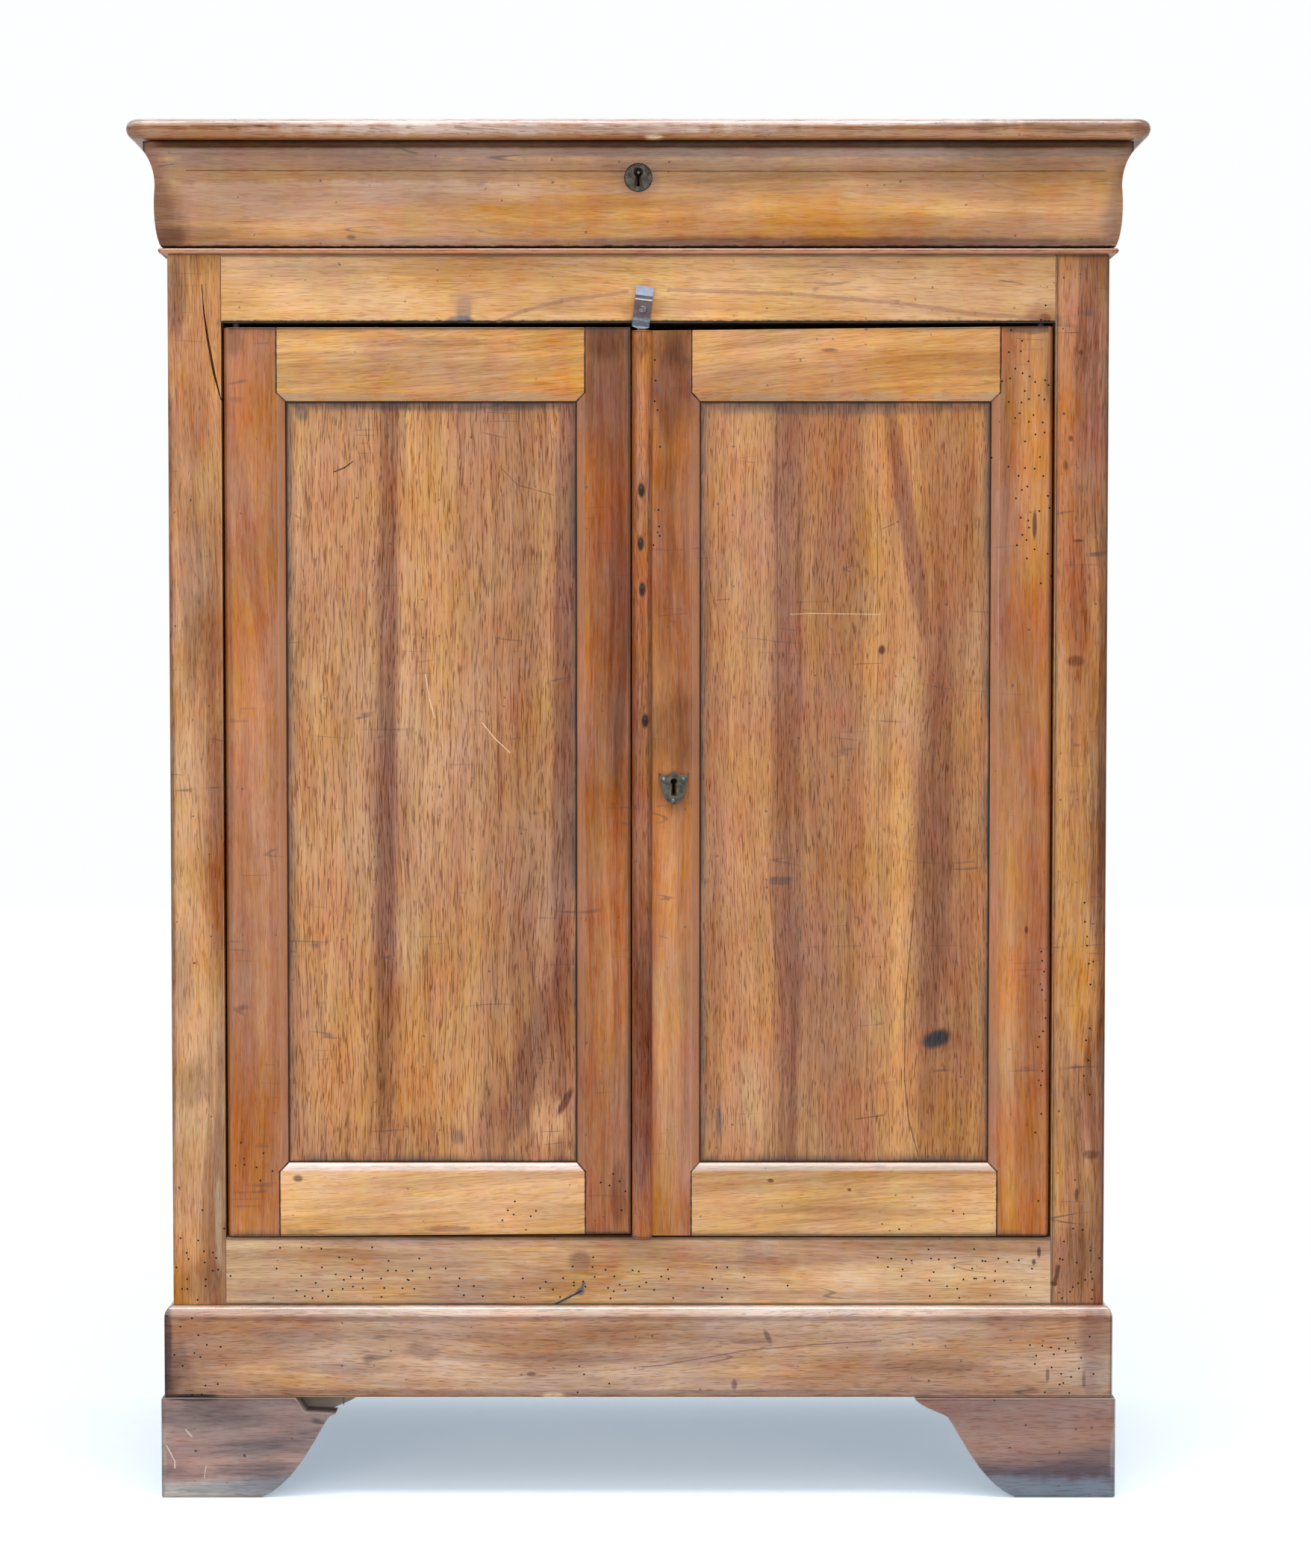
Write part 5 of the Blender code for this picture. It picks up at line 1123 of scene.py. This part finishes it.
bush = worked("drawer_key_bush", 0.6 * MM, 3)
low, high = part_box("drawer_key_bush")
bush_x, _, bush_z = (low + high) / 2
open_keyhole(
    (bush, drawer_front), bush_x, bush_z + 5 * MM,
    radius=4.7 * MM, neck=5.8 * MM, foot=7.2 * MM, drop=13.6 * MM, span=(low.y - 2 * MM, low.y + 18 * MM),
)
aged(bush, "drawer_key_bush", BRASS_BARE, BRASS_GREEN, BRASS_BROWN, rusted=0.5, rubbed=0.5)
bpy.ops.mesh.primitive_cylinder_add(
    vertices=24, radius=1.7 * MM, depth=18 * MM, location=(bush_x, low.y + 10.5 * MM, bush_z + 5 * MM),
    rotation=ALONG_Y,
)
key_pin = bpy.context.object
key_pin.name = "drawer_key_pin"
bpy.ops.object.transform_apply(location=True, rotation=True)
rounded = key_pin.modifiers.new("rounded_end", "BEVEL")
rounded.width = 0.8 * MM
rounded.segments = 4
rounded.limit_method = "ANGLE"
bpy.ops.object.modifier_apply(modifier=rounded.name)
bpy.ops.object.shade_smooth_by_angle(angle=math.radians(40))
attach(key_pin, "drawer")
aged(key_pin, "drawer_key_pin", (0.3, 0.3, 0.29), IRON_BLACK, IRON_RUST, rusted=0.1, sheen=0.25)

# Locks and pivots: plain black iron let into the backs of the drawer front and the door, and pins that
# the doors turn on at top and bottom.
for node in (
    "drawer_lock_case", "drawer_lock_bolt", "door_lock_case", "door_lock_bolt", "left_top_pivot",
    "left_bottom_pivot", "right_top_pivot", "right_bottom_pivot",
):
    ironwork = worked(node, 0.3 * MM)
    aged(ironwork, node, (0.09, 0.085, 0.085), IRON_BLACK, IRON_RUST, rusted=0.6, rubbed=0.4, sheen=0.5)

# Studio: a pale floor that keeps the cabinet's soft shadow and whitens away from it, a white surround,
# a broad light overhead and in front, and a camera a little under the top's height.
bpy.ops.mesh.primitive_grid_add(x_subdivisions=8, y_subdivisions=8, size=14, location=(0, 0, 0))
floor = bpy.context.object
floor.name = "studio_floor"
paint = bpy.data.materials.new("pale_floor")
paint.use_nodes = True
tree = paint.node_tree
tree.nodes.clear()
place = lay(tree, "TexCoord", {})["Object"]
away = length(place)
seen = lay(tree, "LightPath", {})["Is Camera Ray"]
far = times(fade(away, 0.55, 1.5), seen)
grit = noise(place, (60, 60, 60), 4, 0.6)
tone = stain(fade(grit, 0.3, 0.7), (0.9, 0.91, 0.92), (0.94, 0.95, 0.96))
matt = lay(tree, "BsdfDiffuse", {"Color": tone})[0]
glow = lay(tree, "Emission", {"Color": (1, 1, 1), "Strength": 1.0})[0]
raised = {"Color": (0.6, 0.8, 1.0), "Strength": times(seen, 0.38)}
lift = lay(tree, "Emission", raised)[0]
near = lay(tree, "AddShader", {0: matt, 1: lift})[0]
mixed = lay(tree, "MixShader", {0: far, 1: near, 2: glow})[0]
lay(tree, "OutputMaterial", {"Surface": mixed})
floor.data.materials.append(paint)

world = bpy.data.worlds.new("white_surround")
bpy.context.scene.world = world
world.use_nodes = True
tree = world.node_tree
tree.nodes.clear()
path = lay(tree, "LightPath", {})
shown = figure("MAXIMUM", path["Is Camera Ray"], path["Is Glossy Ray"])
room = lay(tree, "Background", {"Color": (0.9, 0.955, 1.0), "Strength": 0.82})[0]
white = lay(tree, "Background", {"Color": (0.985, 0.995, 1.0), "Strength": 1.0})[0]
lay(tree, "OutputWorld", {"Surface": lay(tree, "MixShader", {0: shown, 1: room, 2: white})[0]})


def softbox(name, place, aim, size, watts, colour):
    lamp = bpy.data.lights.new(name, "AREA")
    lamp.shape = "RECTANGLE"
    lamp.size, lamp.size_y = size
    lamp.energy = watts
    lamp.color = colour
    holder = bpy.data.objects.new(name, lamp)
    holder.location = place
    holder.rotation_euler = (Vector(aim) - Vector(place)).to_track_quat("-Z", "Y").to_euler()
    bpy.context.scene.collection.objects.link(holder)


softbox("front_light", (-1.2, -3.4, 0.95), (0, FRONT, 0.55), (2.2, 1.2), 24, (1.0, 0.985, 0.96))
softbox("right_fill", (2.1, -2.9, 0.8), (0, FRONT, 0.5), (1.6, 1.2), 9, (0.97, 0.98, 1.0))
softbox("top_light", (0.0, -0.8, 3.0), (0, -0.35, 0.0), (2.4, 0.6), 36, (1.0, 1.0, 1.0))

FOCAL = 70
SENSOR_WIDTH = 36
CAMERA_HEIGHT = 0.827
CAMERA_DISTANCE = 3.0
CAMERA_DIP = 2.29
FRAME_SHIFT = 23 / 2100
case_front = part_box("left_front_post")[0].y
lens = bpy.data.cameras.new("photo_camera")
lens.lens = FOCAL
lens.sensor_width = SENSOR_WIDTH
lens.shift_x = FRAME_SHIFT
camera = bpy.data.objects.new("photo_camera", lens)
camera.location = (0, case_front - CAMERA_DISTANCE, CAMERA_HEIGHT)
camera.rotation_euler = (math.radians(90 - CAMERA_DIP), 0, 0)
bpy.context.scene.collection.objects.link(camera)
bpy.context.scene.camera = camera
bpy.context.scene.view_settings.view_transform = "Standard"
